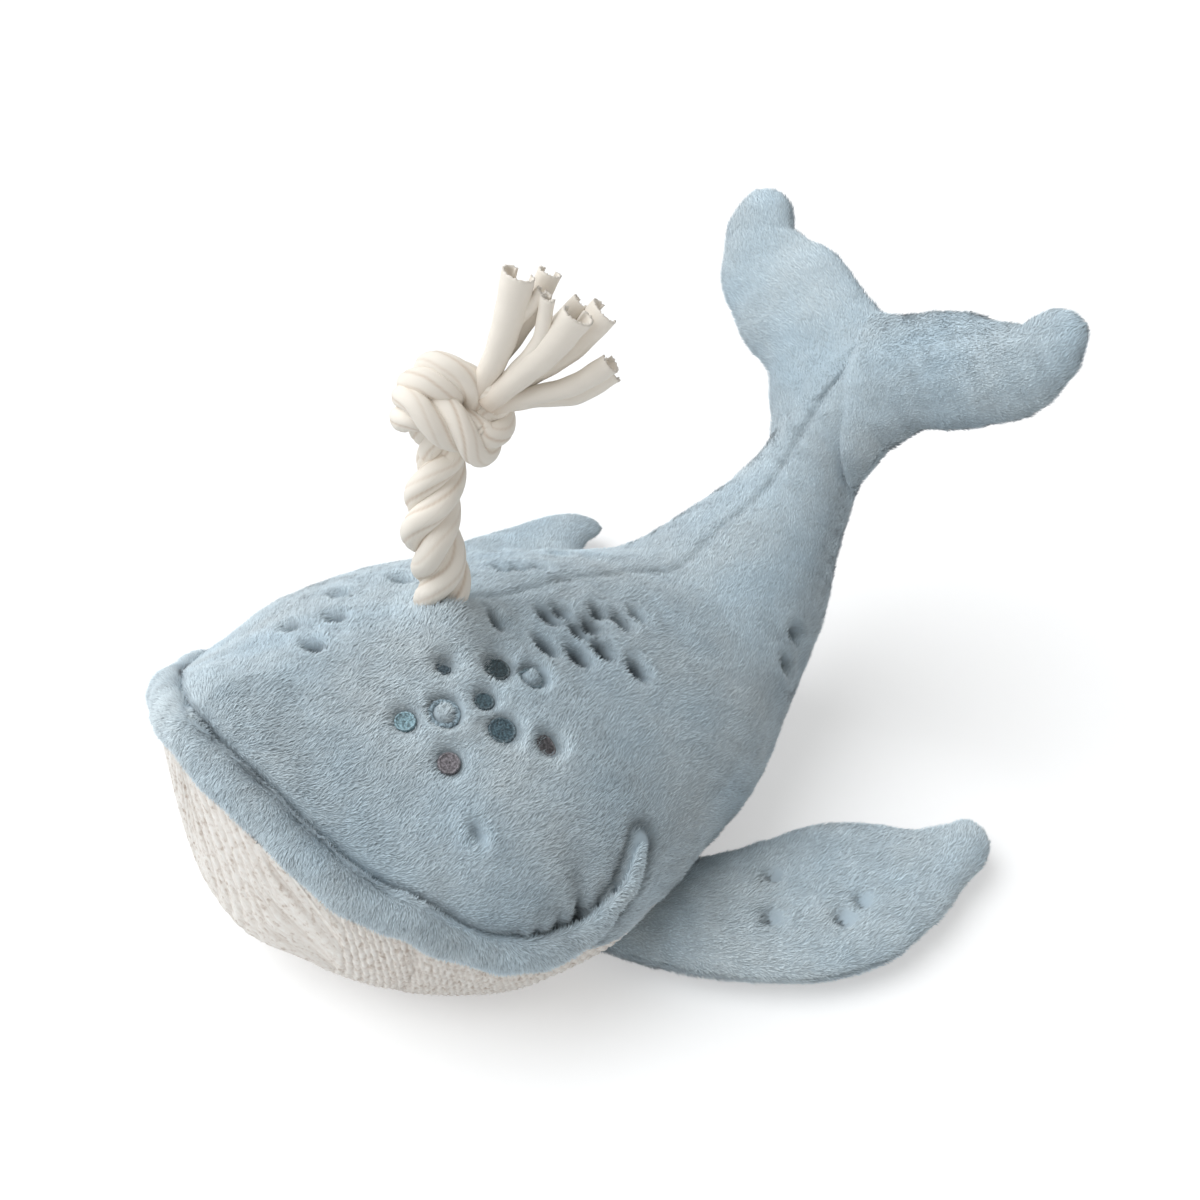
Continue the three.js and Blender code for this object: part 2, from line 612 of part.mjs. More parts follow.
// Overhand knot: points of the rope's middle seen from the front left, to the right, up and towards
// the viewer, from the middle of the knot, as shares of the knot's size
const knotShares = [
  [-0.07, -0.46, 0], [-0.1, -0.22, -0.03], [-0.18, 0.04, -0.07], [-0.22, 0.18, 0], [-0.15, 0.3, 0.07],
  [0, 0.3, 0.09], [0.12, 0.2, 0.02], [0.15, 0, -0.13], [0.07, -0.17, -0.2], [-0.11, -0.24, -0.18],
  [-0.25, -0.19, -0.08], [-0.31, -0.03, 0.05], [-0.26, 0.09, 0.17], [-0.1, 0.04, 0.24],
  [0.1, -0.11, 0.24], [0.26, -0.25, 0.17], [0.34, -0.18, 0.03], [0.32, -0.02, -0.06],
  [0.36, 0.1, -0.02], [0.48, 0.24, 0],
];
const knotTurnDeg = -36;
const knotRight = vector(1, 0, 0).applyAxisAngle(vector(0, 0, 1), knotTurnDeg * degree);
const knotNear = vector(0, -1, 0).applyAxisAngle(vector(0, 0, 1), knotTurnDeg * degree);
const knotUp = vector(0, 0, 1);
const [knotStartRight, knotStartUp] = knotShares[0];
const knotCentre = ropeCurve.getPoint(1)
  .addScaledVector(knotUp, layerGap)
  .addScaledVector(knotRight, -knotStartRight * knotSize)
  .addScaledVector(knotUp, -knotStartUp * knotSize);
const fromKnot = (right, up, near) => knotCentre.clone()
  .addScaledVector(knotRight, right)
  .addScaledVector(knotUp, up)
  .addScaledVector(knotNear, near);
const knotCurve = new THREE.CatmullRomCurve3(knotShares.map((place) =>
  fromKnot(...place.map((share) => share * knotSize))));
const knotParts = 5;
const knotPartSteps = 5;
const knotPartOverlap = 1.1;
const knotForm = (grow) => {
  const tubes = Array.from({ length: knotParts }, (_, part) => {
    const points = Array.from({ length: knotPartSteps + 1 }, (__, step) =>
      knotCurve.getPointAt(Math.min((part + step / knotPartSteps * knotPartOverlap) / knotParts, 1)));
    points[0].addScaledVector(knotCurve.getTangentAt(part / knotParts), -grow);
    return tubeForm(new THREE.CatmullRomCurve3(points), knotRopeDiameter / 2 + grow, knotPartSteps);
  });
  return join(...tubes);
};

// Tassel: the rope's nine strips, loose past the knot, fanned out in two layers
const fanStartDeg = 8;
const fanEndDeg = 77;
const tasselDirDeg = 40;
const stripSteps = 6;
const stripEndShare = 0.05;
const fanned = (angleDeg, length, near) => vector()
  .addScaledVector(knotRight, length * Math.cos(angleDeg * degree))
  .addScaledVector(knotUp, length * Math.sin(angleDeg * degree))
  .addScaledVector(knotNear, near);
const tasselOut = fanned(tasselDirDeg, 1, 0);
const tasselAcross = fanned(tasselDirDeg + 90, 1, 0);
const tasselRoot = knotCurve.getPoint(1).addScaledVector(tasselOut, -knotRopeDiameter / 4);
const tasselJointRadius = stripLayerOffset + stripBaseWidth;
const tasselPlace = placeOf(tasselOut, knotNear, vector().crossVectors(tasselOut, knotNear), tasselRoot);
const tasselRegion = limbRegion(tasselJointRadius + jointGap, 2 * knotSize, tasselPlace);
const knot = cut(knotForm(0), tasselRegion);
addPiece('rope_knot', knot, jerseyColour);
const ropeBase = new THREE.SphereGeometry(ropeRadius, 12, 8)
  .translate(ropeRootPoint.x, ropeRootPoint.y, ropeRootPoint.z);
const stalk = join(tubeForm(ropeCurve, ropeRadius, 8), ropeBase);
addPiece('rope_stalk', cut(stalk, knotForm(layerGap)), jerseyColour);

for (let at = 0; at < stripCount; at += 1) {
  const angle = mix(fanStartDeg, fanEndDeg, at / (stripCount - 1));
  const near = (at % 2 === 0 ? 1 : -1) * stripLayerOffset;
  const start = tasselRoot.clone()
    .addScaledVector(tasselOut, layerGap)
    .addScaledVector(tasselAcross, (at - (stripCount - 1) / 2) * stripSpacing)
    .addScaledVector(knotNear, near);
  const middle = start.clone().addScaledVector(tasselOut, tasselLength / 4);
  const end = tasselRoot.clone().add(fanned(angle, tasselLength, 2 * near));
  const curve = new THREE.QuadraticBezierCurve3(start, middle, end);
  const stripForm = (along, turn) => {
    const tangent = curve.getTangentAt(along);
    const across = vector().crossVectors(knotNear, tangent).normalize();
    const through = vector().crossVectors(tangent, across);
    const size = endRound(along, stripEndShare, 2) * endRound(1 - along, stripEndShare, 2) / 2;
    return curve.getPointAt(along)
      .addScaledVector(across, mix(stripBaseWidth, stripWidth, along) * size * Math.cos(turn))
      .addScaledVector(through, mix(2 * stripBaseWidth, stripThickness, along) * size * Math.sin(turn));
  };
  const steps = roundedSteps(stripEndShare, 1, stripSteps, stripEndShare, 1);
  addPiece(`tassel_strip_${at + 1}`, closedForm(stripForm, steps, 8), jerseyColour);
}

// Embroidered spots on the left of the back: shares along the spine, angles from the back, and
// diameters as shares of the widest spot
const spotShares = [
  [0.204, 29.5, 0.72], [0.239, 30.2, 1], [0.264, 20, 0.52], [0.218, 40.5, 0.76], [0.279, 30, 0.64],
  [0.278, 37, 0.92], [0.31, 23.5, 0.92], [0.335, 28, 0.88], [0.308, 42.8, 0.72],
];
spotShares.forEach(([along, turnDeg, widthShare], at) => {
  const turn = turnDeg * degree;
  const radius = widthShare * spotSize / 2;
  const middle = trunkPoint(along, turn, -(layerGap + spotThickness / 2));
  const outward = middle.clone().sub(trunkPoint(along, turn)).normalize();
  const spot = new THREE.CylinderGeometry(radius, radius, spotThickness, 12)
    .applyQuaternion(new THREE.Quaternion().setFromUnitVectors(vector(0, 1, 0), outward))
    .translate(middle.x, middle.y, middle.z);
  addPiece(`spot_${at + 1}`, spot, at % 2 === 0 ? threadDarkColour : threadLightColour);
});

export default whale;
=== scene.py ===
import math

import bpy
import numpy as np
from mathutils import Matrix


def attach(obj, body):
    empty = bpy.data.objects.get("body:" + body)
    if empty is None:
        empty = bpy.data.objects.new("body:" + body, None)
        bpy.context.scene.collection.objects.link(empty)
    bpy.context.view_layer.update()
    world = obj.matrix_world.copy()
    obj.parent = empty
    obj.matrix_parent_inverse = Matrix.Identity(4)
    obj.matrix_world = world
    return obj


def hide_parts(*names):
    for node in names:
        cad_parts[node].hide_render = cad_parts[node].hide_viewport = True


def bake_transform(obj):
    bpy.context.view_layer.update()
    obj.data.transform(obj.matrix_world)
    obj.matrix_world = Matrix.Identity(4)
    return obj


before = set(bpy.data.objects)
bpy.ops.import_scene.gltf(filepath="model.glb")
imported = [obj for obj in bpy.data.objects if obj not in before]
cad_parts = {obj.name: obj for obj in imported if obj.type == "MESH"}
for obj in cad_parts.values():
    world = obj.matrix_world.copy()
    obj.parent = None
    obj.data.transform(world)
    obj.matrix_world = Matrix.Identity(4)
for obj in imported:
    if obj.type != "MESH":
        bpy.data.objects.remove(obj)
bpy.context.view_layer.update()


# Camera: it looks down at the left side of the head from a little in front of the whale.
scene = bpy.context.scene
scene.view_settings.view_transform = "Standard"
mm = 0.001
view_target = np.array([56.3, 21.0, 82.05]) * mm
view_turn, view_rise, view_distance = math.radians(-36), math.radians(35), 0.7045
view_back = np.array([
    math.sin(view_turn) * math.cos(view_rise),
    -math.cos(view_turn) * math.cos(view_rise),
    math.sin(view_rise)])
camera = bpy.data.objects.new("camera", bpy.data.cameras.new("camera"))
scene.collection.objects.link(camera)
camera.data.sensor_width, camera.data.lens = 36, 46.5
camera.data.clip_start, camera.data.clip_end = 0.01, 20
camera.location = (view_target + view_back * view_distance).tolist()
camera.rotation_euler = (math.pi / 2 - view_rise, 0, view_turn)
scene.camera = camera


# Light: a pale room, which the camera sees as plain white, and one broad lamp that shines from above
# the nose and the far side.
def feed_node(tree, node, inputs):
    """Each input, by its name or number, takes a value or is linked from another node's output."""
    for name, source in inputs.items():
        if isinstance(source, bpy.types.NodeSocket):
            tree.links.new(source, node.inputs[name])
        else:
            node.inputs[name].default_value = source


def add_node(tree, kind, inputs={}, **settings):
    """Shader node of this kind with these settings and inputs."""
    node = tree.nodes.new("ShaderNode" + kind)
    for name, value in settings.items():
        setattr(node, name, value)
    feed_node(tree, node, inputs)
    return node


world = bpy.data.worlds.new("studio")
scene.world = world
world.use_nodes = True
sky = world.node_tree
room = sky.nodes["Background"]
feed_node(sky, room, {"Color": (1.0, 0.98, 0.95, 1), "Strength": 0.38})
backdrop = add_node(sky, "Background", {"Color": (1, 1, 1, 1)})
sky_mix = add_node(sky, "MixShader", {
    "Fac": add_node(sky, "LightPath").outputs["Is Camera Ray"],
    1: room.outputs["Background"], 2: backdrop.outputs["Background"]})
feed_node(sky, sky.nodes["World Output"], {"Surface": sky_mix.outputs["Shader"]})
lamp = bpy.data.lights.new("nose_lamp", "SUN")
lamp.energy, lamp.angle = 2.85, math.radians(65)
lamp.color = (0.965, 1.0, 1.03)
holder = bpy.data.objects.new("nose_lamp", lamp)
scene.collection.objects.link(holder)
aim = np.array([-0.5, 0.31, 0.81])
holder.rotation_euler = (
    math.acos(aim[2] / np.linalg.norm(aim)), 0, math.atan2(aim[1], aim[0]) + math.pi / 2)


# Floor: a plain white sheet of card. The camera sees it paler than it lights the toy, and its shadows
# soft and light.
def make_mesh(name, points, faces, material, smooth=True):
    """Object whose mesh has these points, one row each, and these faces: arrays of corner numbers,
    one array for each number of corners that a face may have."""
    mesh = bpy.data.meshes.new(name)
    mesh.vertices.add(len(points))
    mesh.vertices.foreach_set("co", np.asarray(points, np.float32).ravel())
    corners = np.concatenate([np.asarray(part, np.int32).ravel() for part in faces])
    sizes = np.concatenate([np.full(len(part), part.shape[1]) for part in faces])
    mesh.loops.add(len(corners))
    mesh.loops.foreach_set("vertex_index", corners)
    mesh.polygons.add(len(sizes))
    mesh.polygons.foreach_set("loop_start", (np.cumsum(sizes) - sizes).astype(np.int32))
    mesh.polygons.foreach_set("use_smooth", np.full(len(sizes), smooth))
    mesh.materials.append(material)
    mesh.update(calc_edges=True)
    made = bpy.data.objects.new(name, mesh)
    scene.collection.objects.link(made)
    return made


def plain_material(name, colour, roughness, specular, sheen=0):
    """Material with one colour on its shader, and that shader and its node tree for more."""
    material = bpy.data.materials.new(name)
    material.use_nodes = True
    shader = material.node_tree.nodes["Principled BSDF"]
    feed_node(material.node_tree, shader, {
        "Base Color": (*colour, 1), "Roughness": roughness, "Specular IOR Level": specular,
        "Sheen Weight": sheen})
    return material, shader, material.node_tree


def mix_colours(tree, first, second, factor, blend="MIX"):
    """Output of a node that mixes two colours; each input is a value or another node's output."""
    return add_node(
        tree, "Mix", {"A": first, "B": second, "Factor": factor}, data_type="RGBA",
        blend_type=blend).outputs["Result"]


card, card_shader, card_tree = plain_material("white_card", (0.85, 0.85, 0.85), 0.9, 0)
from_camera = add_node(card_tree, "LightPath").outputs["Is Camera Ray"]
glow = add_node(card_tree, "Math", {0: from_camera, 1: 0.46}, operation="MULTIPLY")
feed_node(card_tree, card_shader, {
    "Base Color": mix_colours(card_tree, (0.85, 0.85, 0.85, 1), (0.6, 0.6, 0.6, 1), from_camera),
    "Emission Color": (1, 1, 1, 1), "Emission Strength": glow.outputs["Value"]})
half_floor = 6.0
floor_corners = np.array([[-1, -1, 0], [1, -1, 0], [1, 1, 0], [-1, 1, 0]]) * half_floor
floor = make_mesh("floor", floor_corners, [np.array([[0, 1, 2, 3]])], card)


# Spout rope: three strands of folded cotton jersey, laid up to the right, sewn under the seam of the
# back and tied in an overhand knot. Past the knot its nine strips hang loose as a tassel.
def spline(points, share):
    """Smooth curve through the rows of points, read at shares of its number of spans: between two
    points it is a cubic whose end slopes come from the four nearest points, each span weighted by
    the root of its length."""
    points = np.asarray(points, float)
    padded = np.vstack([2 * points[0] - points[1], points, 2 * points[-1] - points[-2]])
    place = np.clip(share, 0, 1) * (len(points) - 1)
    first = np.minimum(place.astype(int), len(points) - 2)
    part = (place - first)[..., None]
    a, b, c, d = (padded[first + step] for step in range(4))
    spans = [((q - p) ** 2).sum(-1, keepdims=True) ** 0.25 + 1e-9 for p, q in ((a, b), (b, c), (c, d))]
    start = ((b - a) / spans[0] - (c - a) / (spans[0] + spans[1]) + (c - b) / spans[1]) * spans[1]
    end = ((c - b) / spans[1] - (d - b) / (spans[1] + spans[2]) + (d - c) / spans[2]) * spans[1]
    return b + part * (start + part * (
        3 * (c - b) - 2 * start - end + part * (2 * (b - c) + start + end)))


def even_places(points, share, count=3001):
    """Places on the same curve, as spline reads them, at shares of its length."""
    fine = np.linspace(0, 1, count)
    line = spline(points, fine)
    run = np.concatenate([[0], np.cumsum(np.linalg.norm(np.diff(line, axis=0), axis=1))])
    return np.interp(share, run / run[-1], fine)


def even_spline(points, share):
    """The same curve read at shares of its length."""
    return spline(points, even_places(points, share))


def unit(vectors):
    """Rows scaled to length one."""
    return vectors / np.maximum(np.linalg.norm(vectors, axis=-1, keepdims=True), 1e-12)


def path_frames(line):
    """Directions along a line and two directions across it, carried from point to point without
    twist: each is the last one less its part along the new direction."""
    along = unit(np.gradient(line, axis=0))
    across = np.empty_like(line)
    across[0] = unit(np.cross(along[0], (0.3, 1, 0.2)))
    for at in range(1, len(line)):
        across[at] = unit(across[at - 1] - (across[at - 1] @ along[at]) * along[at])
    return along, across, np.cross(along, across)


def grid_faces(rows, columns, ring=True):
    """Four-cornered faces of a grid of points; a ring joins its last column to its first."""
    row, column = np.meshgrid(
        np.arange(rows - 1), np.arange(columns if ring else columns - 1), indexing="ij")
    low = (row * columns + column).ravel()
    near = (row * columns + (column + 1) % columns).ravel()
    return np.stack([low, near, near + columns, low + columns], 1)


def end_faces(steps, sides):
    """The flat face at each end of a tube's grid."""
    return np.stack([np.arange(sides)[::-1], (steps - 1) * sides + np.arange(sides)])


def capped_tube(name, rings, material):
    """Tube from an array of rings (steps, sides, 3), closed with a flat face at each end."""
    steps, sides = rings.shape[:2]
    faces = [grid_faces(steps, sides), end_faces(steps, sides)]
    return make_mesh(name, rings.reshape(-1, 3), faces, material)


rope_root = np.array([-36.48, 0.09, 124.78])
rope_rise = 72.3
rope_line = np.array([
    [0, 0], [0, 0.18], [0, 0.37], [-0.045, 0.56], [-0.015, 0.735], [0.03, 0.9], [0.075, 1]])
rope_points = rope_root + np.stack(
    [rope_line[:, 0], 0 * rope_line[:, 0], rope_line[:, 1]], 1) * rope_rise
knot_size = 43
knot_places = np.array([
    [-0.07, -0.46, 0], [-0.1, -0.22, -0.03], [-0.18, 0.04, -0.07], [-0.22, 0.18, 0],
    [-0.15, 0.3, 0.07], [0, 0.3, 0.09], [0.12, 0.2, 0.02], [0.15, 0, -0.13], [0.07, -0.17, -0.2],
    [-0.11, -0.24, -0.18], [-0.25, -0.19, -0.08], [-0.31, -0.03, 0.05], [-0.26, 0.09, 0.17],
    [-0.1, 0.04, 0.24], [0.1, -0.11, 0.24], [0.26, -0.25, 0.17], [0.34, -0.18, 0.03],
    [0.32, -0.02, -0.06], [0.36, 0.1, -0.02], [0.48, 0.24, 0]])
knot_turn = math.radians(-36)
knot_right = np.array([math.cos(knot_turn), math.sin(knot_turn), 0])
knot_near = np.array([math.sin(knot_turn), -math.cos(knot_turn), 0])
knot_up = np.array([0, 0, 1.0])
knot_centre = rope_points[-1] + 0.4 * knot_up - knot_size * (
    knot_places[0, 0] * knot_right + knot_places[0, 1] * knot_up)
knot_points = knot_centre + knot_size * (
    knot_places[:, :1] * knot_right + knot_places[:, 1:2] * knot_up + knot_places[:, 2:] * knot_near)
rope_steps = 520
rope_route = np.vstack([
    even_spline(rope_points, np.linspace(0, 1, 34)), even_spline(knot_points, np.linspace(0.03, 1, 80))])
rope_middle = even_spline(rope_route, np.linspace(0, 1, rope_steps))
rope_length = np.linalg.norm(np.diff(rope_middle, axis=0), axis=1).sum()
rope_run = np.linspace(0, 1, rope_steps) * rope_length
_, rope_across, rope_through = path_frames(rope_middle)
rope_radius = np.interp(rope_run, [0, 58, 74, rope_length], [11.25, 11.0, 9.4, 9.2])
strand_pitch, crease_pitch, strand_sides = 50, 62, 40
strand_rings, strand_crease_shade = [], []
for strand in range(3):
    lay = 2 * np.pi * (rope_run / strand_pitch + strand / 3) + 0.9
    middle = rope_middle + 0.5 * rope_radius[:, None] * (
        np.cos(lay)[:, None] * rope_across + np.sin(lay)[:, None] * rope_through)
    along, across, through = path_frames(middle)
    angle = np.linspace(0, 2 * np.pi, strand_sides, endpoint=False)
    # Three folds of each strand's strips show as creases that wind slowly round it
    folds = angle[None, :] - 2 * np.pi * rope_run[:, None] / crease_pitch
    crease = sum(
        np.exp(-(((folds - middle_fold + np.pi) % (2 * np.pi) - np.pi) / 0.11) ** 2) * deep
        for middle_fold, deep in ((0, 1.0), (1.5, 0.8), (2.6, 0.45), (4.1, 0.9), (5.3, 0.55)))
    swell = 0.035 * np.sin(2 * folds + strand) + 0.02 * np.sin(rope_run[:, None] * 0.35 + 3 * angle)
    radius = 0.53 * rope_radius[:, None] * (1 + swell - 0.085 * crease)
    end_round = np.sqrt(np.clip(rope_run / 4, 0, 1) * np.clip((rope_length - rope_run) / 3, 0, 1))
    radius = radius * np.maximum(end_round, 0.02)[:, None]
    strand_rings.append(
        middle[:, None] + radius[..., None] * (
            np.cos(angle)[None, :, None] * across[:, None]
            + np.sin(angle)[None, :, None] * through[:, None]))
    # The crease values also go to the attribute crease, which paints shade, a warmer brown, into the
    # creases
    strand_crease_shade.append(0.55 * crease.ravel())


def noise_by_place(tree, scale, detail):
    """Output of a noise texture over the object's own coordinates."""
    place = add_node(tree, "TexCoord").outputs["Object"]
    return add_node(
        tree, "TexNoise", {"Vector": place, "Scale": scale, "Detail": detail}).outputs["Fac"]


def read_attribute(tree, name, output="Fac"):
    """Output of an attribute of the mesh."""
    return add_node(tree, "Attribute", attribute_name=name).outputs[output]


def bump_normal(tree, height, strength, deepest_mm):
    """Output of a bump node over a height."""
    return add_node(tree, "Bump", {
        "Height": height, "Strength": strength, "Distance": deepest_mm * mm}).outputs["Normal"]


def jersey_material(name, tint):
    """Cream cotton jersey: fine knit columns from a wave along the piece's own UV map, a soft change
    of tone, painted shade in a warmer brown where the attribute crease is high, and a slight nap."""
    material, shader, tree = plain_material(name, tint, 0.92, 0.25, 0.12)
    wave = add_node(tree, "TexWave", {
        "Vector": add_node(tree, "UVMap", uv_map="cloth").outputs["UV"], "Scale": 1,
        "Distortion": 1.2, "Detail": 2}, wave_type="BANDS", bands_direction="Y")
    darker = (*[value * 0.93 for value in tint], 1)
    tone = mix_colours(tree, darker, (*tint, 1), noise_by_place(tree, 70, 5))
    # Painted shade: the jersey turns a warmer brown by the attribute crease
    feed_node(tree, shader, {
        "Base Color": mix_colours(tree, tone, (0.6, 0.45, 0.32, 1), read_attribute(tree, "crease")),
        "Normal": bump_normal(tree, wave.outputs["Fac"], 0.35, 0.25)})
    return material


def add_uv(piece, uv, name="cloth"):
    """UV map from one pair of numbers for each point of the mesh."""
    mesh = piece.data
    corner = np.empty(len(mesh.loops), np.int32)
    mesh.loops.foreach_get("vertex_index", corner)
    layer = mesh.uv_layers.new(name=name)
    layer.data.foreach_set("uv", np.asarray(uv, np.float32)[corner].ravel())


def add_value(piece, name, values):
    """Attribute with one number for each point of the mesh."""
    layer = piece.data.attributes.new(name, "FLOAT", "POINT")
    layer.data.foreach_set("value", np.asarray(values, np.float32).ravel())


jersey = jersey_material("cotton_jersey", (0.94, 0.875, 0.785))
each_strand = np.arange(3)[:, None, None] * rope_steps * strand_sides
rope = make_mesh(
    "spout_rope", np.concatenate([rings.reshape(-1, 3) for rings in strand_rings]) * mm,
    [(grid_faces(rope_steps, strand_sides) + each_strand).reshape(-1, 4),
     (end_faces(rope_steps, strand_sides) + each_strand).reshape(-1, strand_sides)],
    jersey)
strand_u = np.broadcast_to(rope_run[:, None] / 1.1, (rope_steps, strand_sides))
strand_v = np.broadcast_to(np.arange(strand_sides)[None, :] * 0.9 / 1.1, (rope_steps, strand_sides))
add_uv(rope, np.tile(np.stack([strand_u.ravel(), strand_v.ravel()], 1), (3, 1)))
add_value(rope, "crease", np.concatenate(strand_crease_shade))
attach(rope, "spout")
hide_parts("rope_stalk", "rope_knot")

# Tassel: nine strips of the rope's jersey past the knot. Cut jersey curls lengthwise, so each is a
# roll or an open gutter that widens to a frayed end.
tassel_root = np.array([-14.87, -11.68, 224.53])
tassel_rise = math.radians(40)
tassel_out = math.cos(tassel_rise) * knot_right + math.sin(tassel_rise) * knot_up
tassel_across = -math.sin(tassel_rise) * knot_right + math.cos(tassel_rise) * knot_up
# For each strip: its tip to the right, up and towards the viewer from the root, its place across the
# root, the bow of its middle, its flat width, its curl at the root and at the tip in turns, its twist
strip_shapes = [
    [12.0, 47.0, 2, 5.2, -1.5, 27, 2.3, 2.25, 0.4],
    [20.5, 44.5, -3, 4.0, -2.0, 18, 2.3, 2.2, -0.3],
    [18.5, 41.0, 3, 2.6, 3.5, 13, 2.4, 2.4, 0.2],
    [22.5, 39.5, 6, 1.0, -5.5, 13, 2.4, 2.4, 0.6],
    [29.5, 34.5, 5, -0.8, -2.0, 26, 2.2, 2.05, -0.3],
    [32.0, 31.0, -5, -1.6, 1.0, 15, 2.3, 2.3, 0.5],
    [41.0, 29.0, -2, -2.6, -3.0, 23, 2.2, 1.9, 0.3],
    [41.5, 14.0, 3, -3.9, -2.5, 20, 2.2, 1.8, -0.4],
    [43.5, 5.5, -3, -5.4, -4.5, 19, 2.3, 2.0, 0.3]]
strip_steps, strip_half = 60, 22
for number, shape in enumerate(strip_shapes):
    right, rise, near, root_place, bow, wide, curl_root, curl_tip, twist = shape
    share = np.linspace(0, 1, strip_steps)
    start = tassel_root - 5 * tassel_out + root_place * tassel_across + 0.6 * near * knot_near
    tip = tassel_root + right * knot_right + rise * knot_up + 1.4 * near * knot_near
    side = unit(np.cross(knot_near, tip - start))
    line = even_spline(np.array([
        start, start + 0.3 * (tip - start) + 2.2 * tassel_out + 0.55 * bow * side,
        start + 0.66 * (tip - start) + bow * side, tip]), share)
    along = unit(np.gradient(line, axis=0))
    facing = unit(knot_near - (along @ knot_near)[:, None] * along)
    sideways = np.cross(facing, along)
    swing = twist * (share - 0.4) * 2.2 + 0.5 * math.sin(number * 2.4)
    facing, sideways = (
        facing * np.cos(swing)[:, None] + sideways * np.sin(swing)[:, None],
        sideways * np.cos(swing)[:, None] - facing * np.sin(swing)[:, None])
    # The section is a line whose bend grows towards its edges, so that the edges roll in
    place = np.linspace(-1, 1, 2 * strip_half + 1)
    width = wide * (0.62 + 0.38 * share)
    curl = (curl_root + (curl_tip - curl_root) * share ** 1.5) * 2 * np.pi
    bend = curl[:, None] * (0.55 + 1.35 * np.abs(place)[None, :] ** 3) / 1.8
    half_step = (place[1] - place[0]) / 2
    heading = np.cumsum(bend, 1) * half_step
    heading -= heading[:, [strip_half]]
    x, z = (
        np.cumsum(part, 1) * half_step * width[:, None] for part in (np.cos(heading), np.sin(heading)))
    x -= x[:, [strip_half]]
    z -= z[:, [strip_half]] + 0.15 * (width * curl)[:, None] / (2 * np.pi)
    cloth = 0.55 + 0.1 * np.sin(share * 30 + number)[:, None]
    outer, inner = (
        np.stack([x + half * np.sin(heading), z - half * np.cos(heading)], -1)
        for half in (cloth, -cloth))
    section = np.concatenate([outer, inner[:, ::-1]], 1)
    jag = np.sin(place * 23 + number) * np.sin(place * 61 + 2 * number)
    jag = np.concatenate([jag, jag[::-1]])
    rings = (
        line[:, None] + section[..., :1] * sideways[:, None] - section[..., 1:] * facing[:, None])
    rings[-3:] += np.array([0.25, 0.6, 1])[:, None, None] * 0.4 * jag[None, :, None] * along[-1]
    sides = section.shape[1]
    cut = np.arange(2 * strip_half)
    cut = np.stack([cut, cut + 1, sides - 2 - cut, sides - 1 - cut], 1)
    piece = make_mesh(
        f"tassel_{number + 1}", rings[:, ::-1].reshape(-1, 3) * mm,
        [np.concatenate([
            grid_faces(strip_steps, sides), cut[:, ::-1], cut + (strip_steps - 1) * sides])],
        jersey)
    around = np.broadcast_to(np.arange(sides)[::-1] * wide / 46, (strip_steps, sides))
    add_uv(piece, np.stack([np.repeat(share * 50, sides), around.ravel() / 1.1], 1))
    # Painted shade: the strips' jersey is browner towards the knot, where they crowd together
    add_value(piece, "crease", np.repeat(np.exp(-share * 9) * 0.5, sides))
    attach(piece, "tassel")
    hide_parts(f"tassel_strip_{number + 1}")


# Plush skin of the head, body and tail: two panels of short grey-blue pile, sewn along the back and,
# under the tail, along the belly. The stuffing rounds it out; the seam, the embroidery and the
# gathers at the corner of the mouth draw it in.
reach, back_height, head_width, notch_height = 344, 128, 216, 193
set_down = np.array([-151.704, 0, 1.95])
spine_shares = np.array([
    [0, 0, 0.54], [0.045, 0, 0.456], [0.1, 0, 0.387], [0.2, 0, 0.332], [0.3, 0, 0.308],
    [0.4, 0, 0.291], [0.5, 0.01, 0.307], [0.6, 0.02, 0.308], [0.7, 0.01, 0.338], [0.78, -0.005, 0.4],
    [0.85, -0.015, 0.499], [0.91, -0.015, 0.624], [0.96, 0, 0.801], [1, 0.01, 0.967]])
trunk_shares = np.array([
    [0.158, 0.648, 0.314], [0.381, 0.542, 0.399], [0.457, 0.558, 0.467], [0.531, 0.519, 0.529],
    [0.538, 0.48, 0.542], [0.506, 0.474, 0.489], [0.432, 0.486, 0.425], [0.369, 0.469, 0.357],
    [0.267, 0.409, 0.274], [0.246, 0.313, 0.207], [0.182, 0.242, 0.14], [0.141, 0.172, 0.101],
    [0.128, 0.114, 0.123], [0.1, 0.095, 0.115]])
trunk_sizes = trunk_shares * [back_height, back_height, head_width]
spine_share = np.linspace(0, 1, 1501)
spine_line = even_spline(spine_shares * [reach, -head_width, notch_height], spine_share)
spine_slope = unit(np.gradient(spine_line, axis=0))


def smooth_step(value, low, high):
    """Rises from 0 to 1 between low and high with level ends."""
    share = np.clip((value - low) / (high - low), 0, 1)
    return share * share * (3 - 2 * share)


def end_round(distance, length, power):
    """Size factor that rounds an end like a quarter of a superellipse."""
    share = 1 - np.clip(distance / length, 0, 1)
    return (1 - share ** power) ** (1 / power)


def trunk_frame(along):
    """Middle of the trunk's section at a share along the spine, and its forward, up and left
    directions: upright in the head, leaning back with the tail, which rolls a little."""
    centre, slope = (
        np.stack([np.interp(along, spine_share, table[:, axis]) for axis in range(3)], -1)
        for table in (spine_line, spine_slope))
    pitch = np.maximum(np.arctan2(slope[..., 2], slope[..., 0]), 0)
    roll = math.radians(3) * smooth_step(along, 0.35, 1)
    zero = 0 * pitch
    forward = np.stack([np.cos(pitch), zero, np.sin(pitch)], -1)
    upright = np.stack([-np.sin(pitch), zero, np.cos(pitch)], -1)
    beside = np.stack([zero, zero - 1, zero], -1)
    up = upright * np.cos(roll)[..., None] + beside * np.sin(roll)[..., None]
    return centre + set_down, forward, up, np.cross(forward, up)


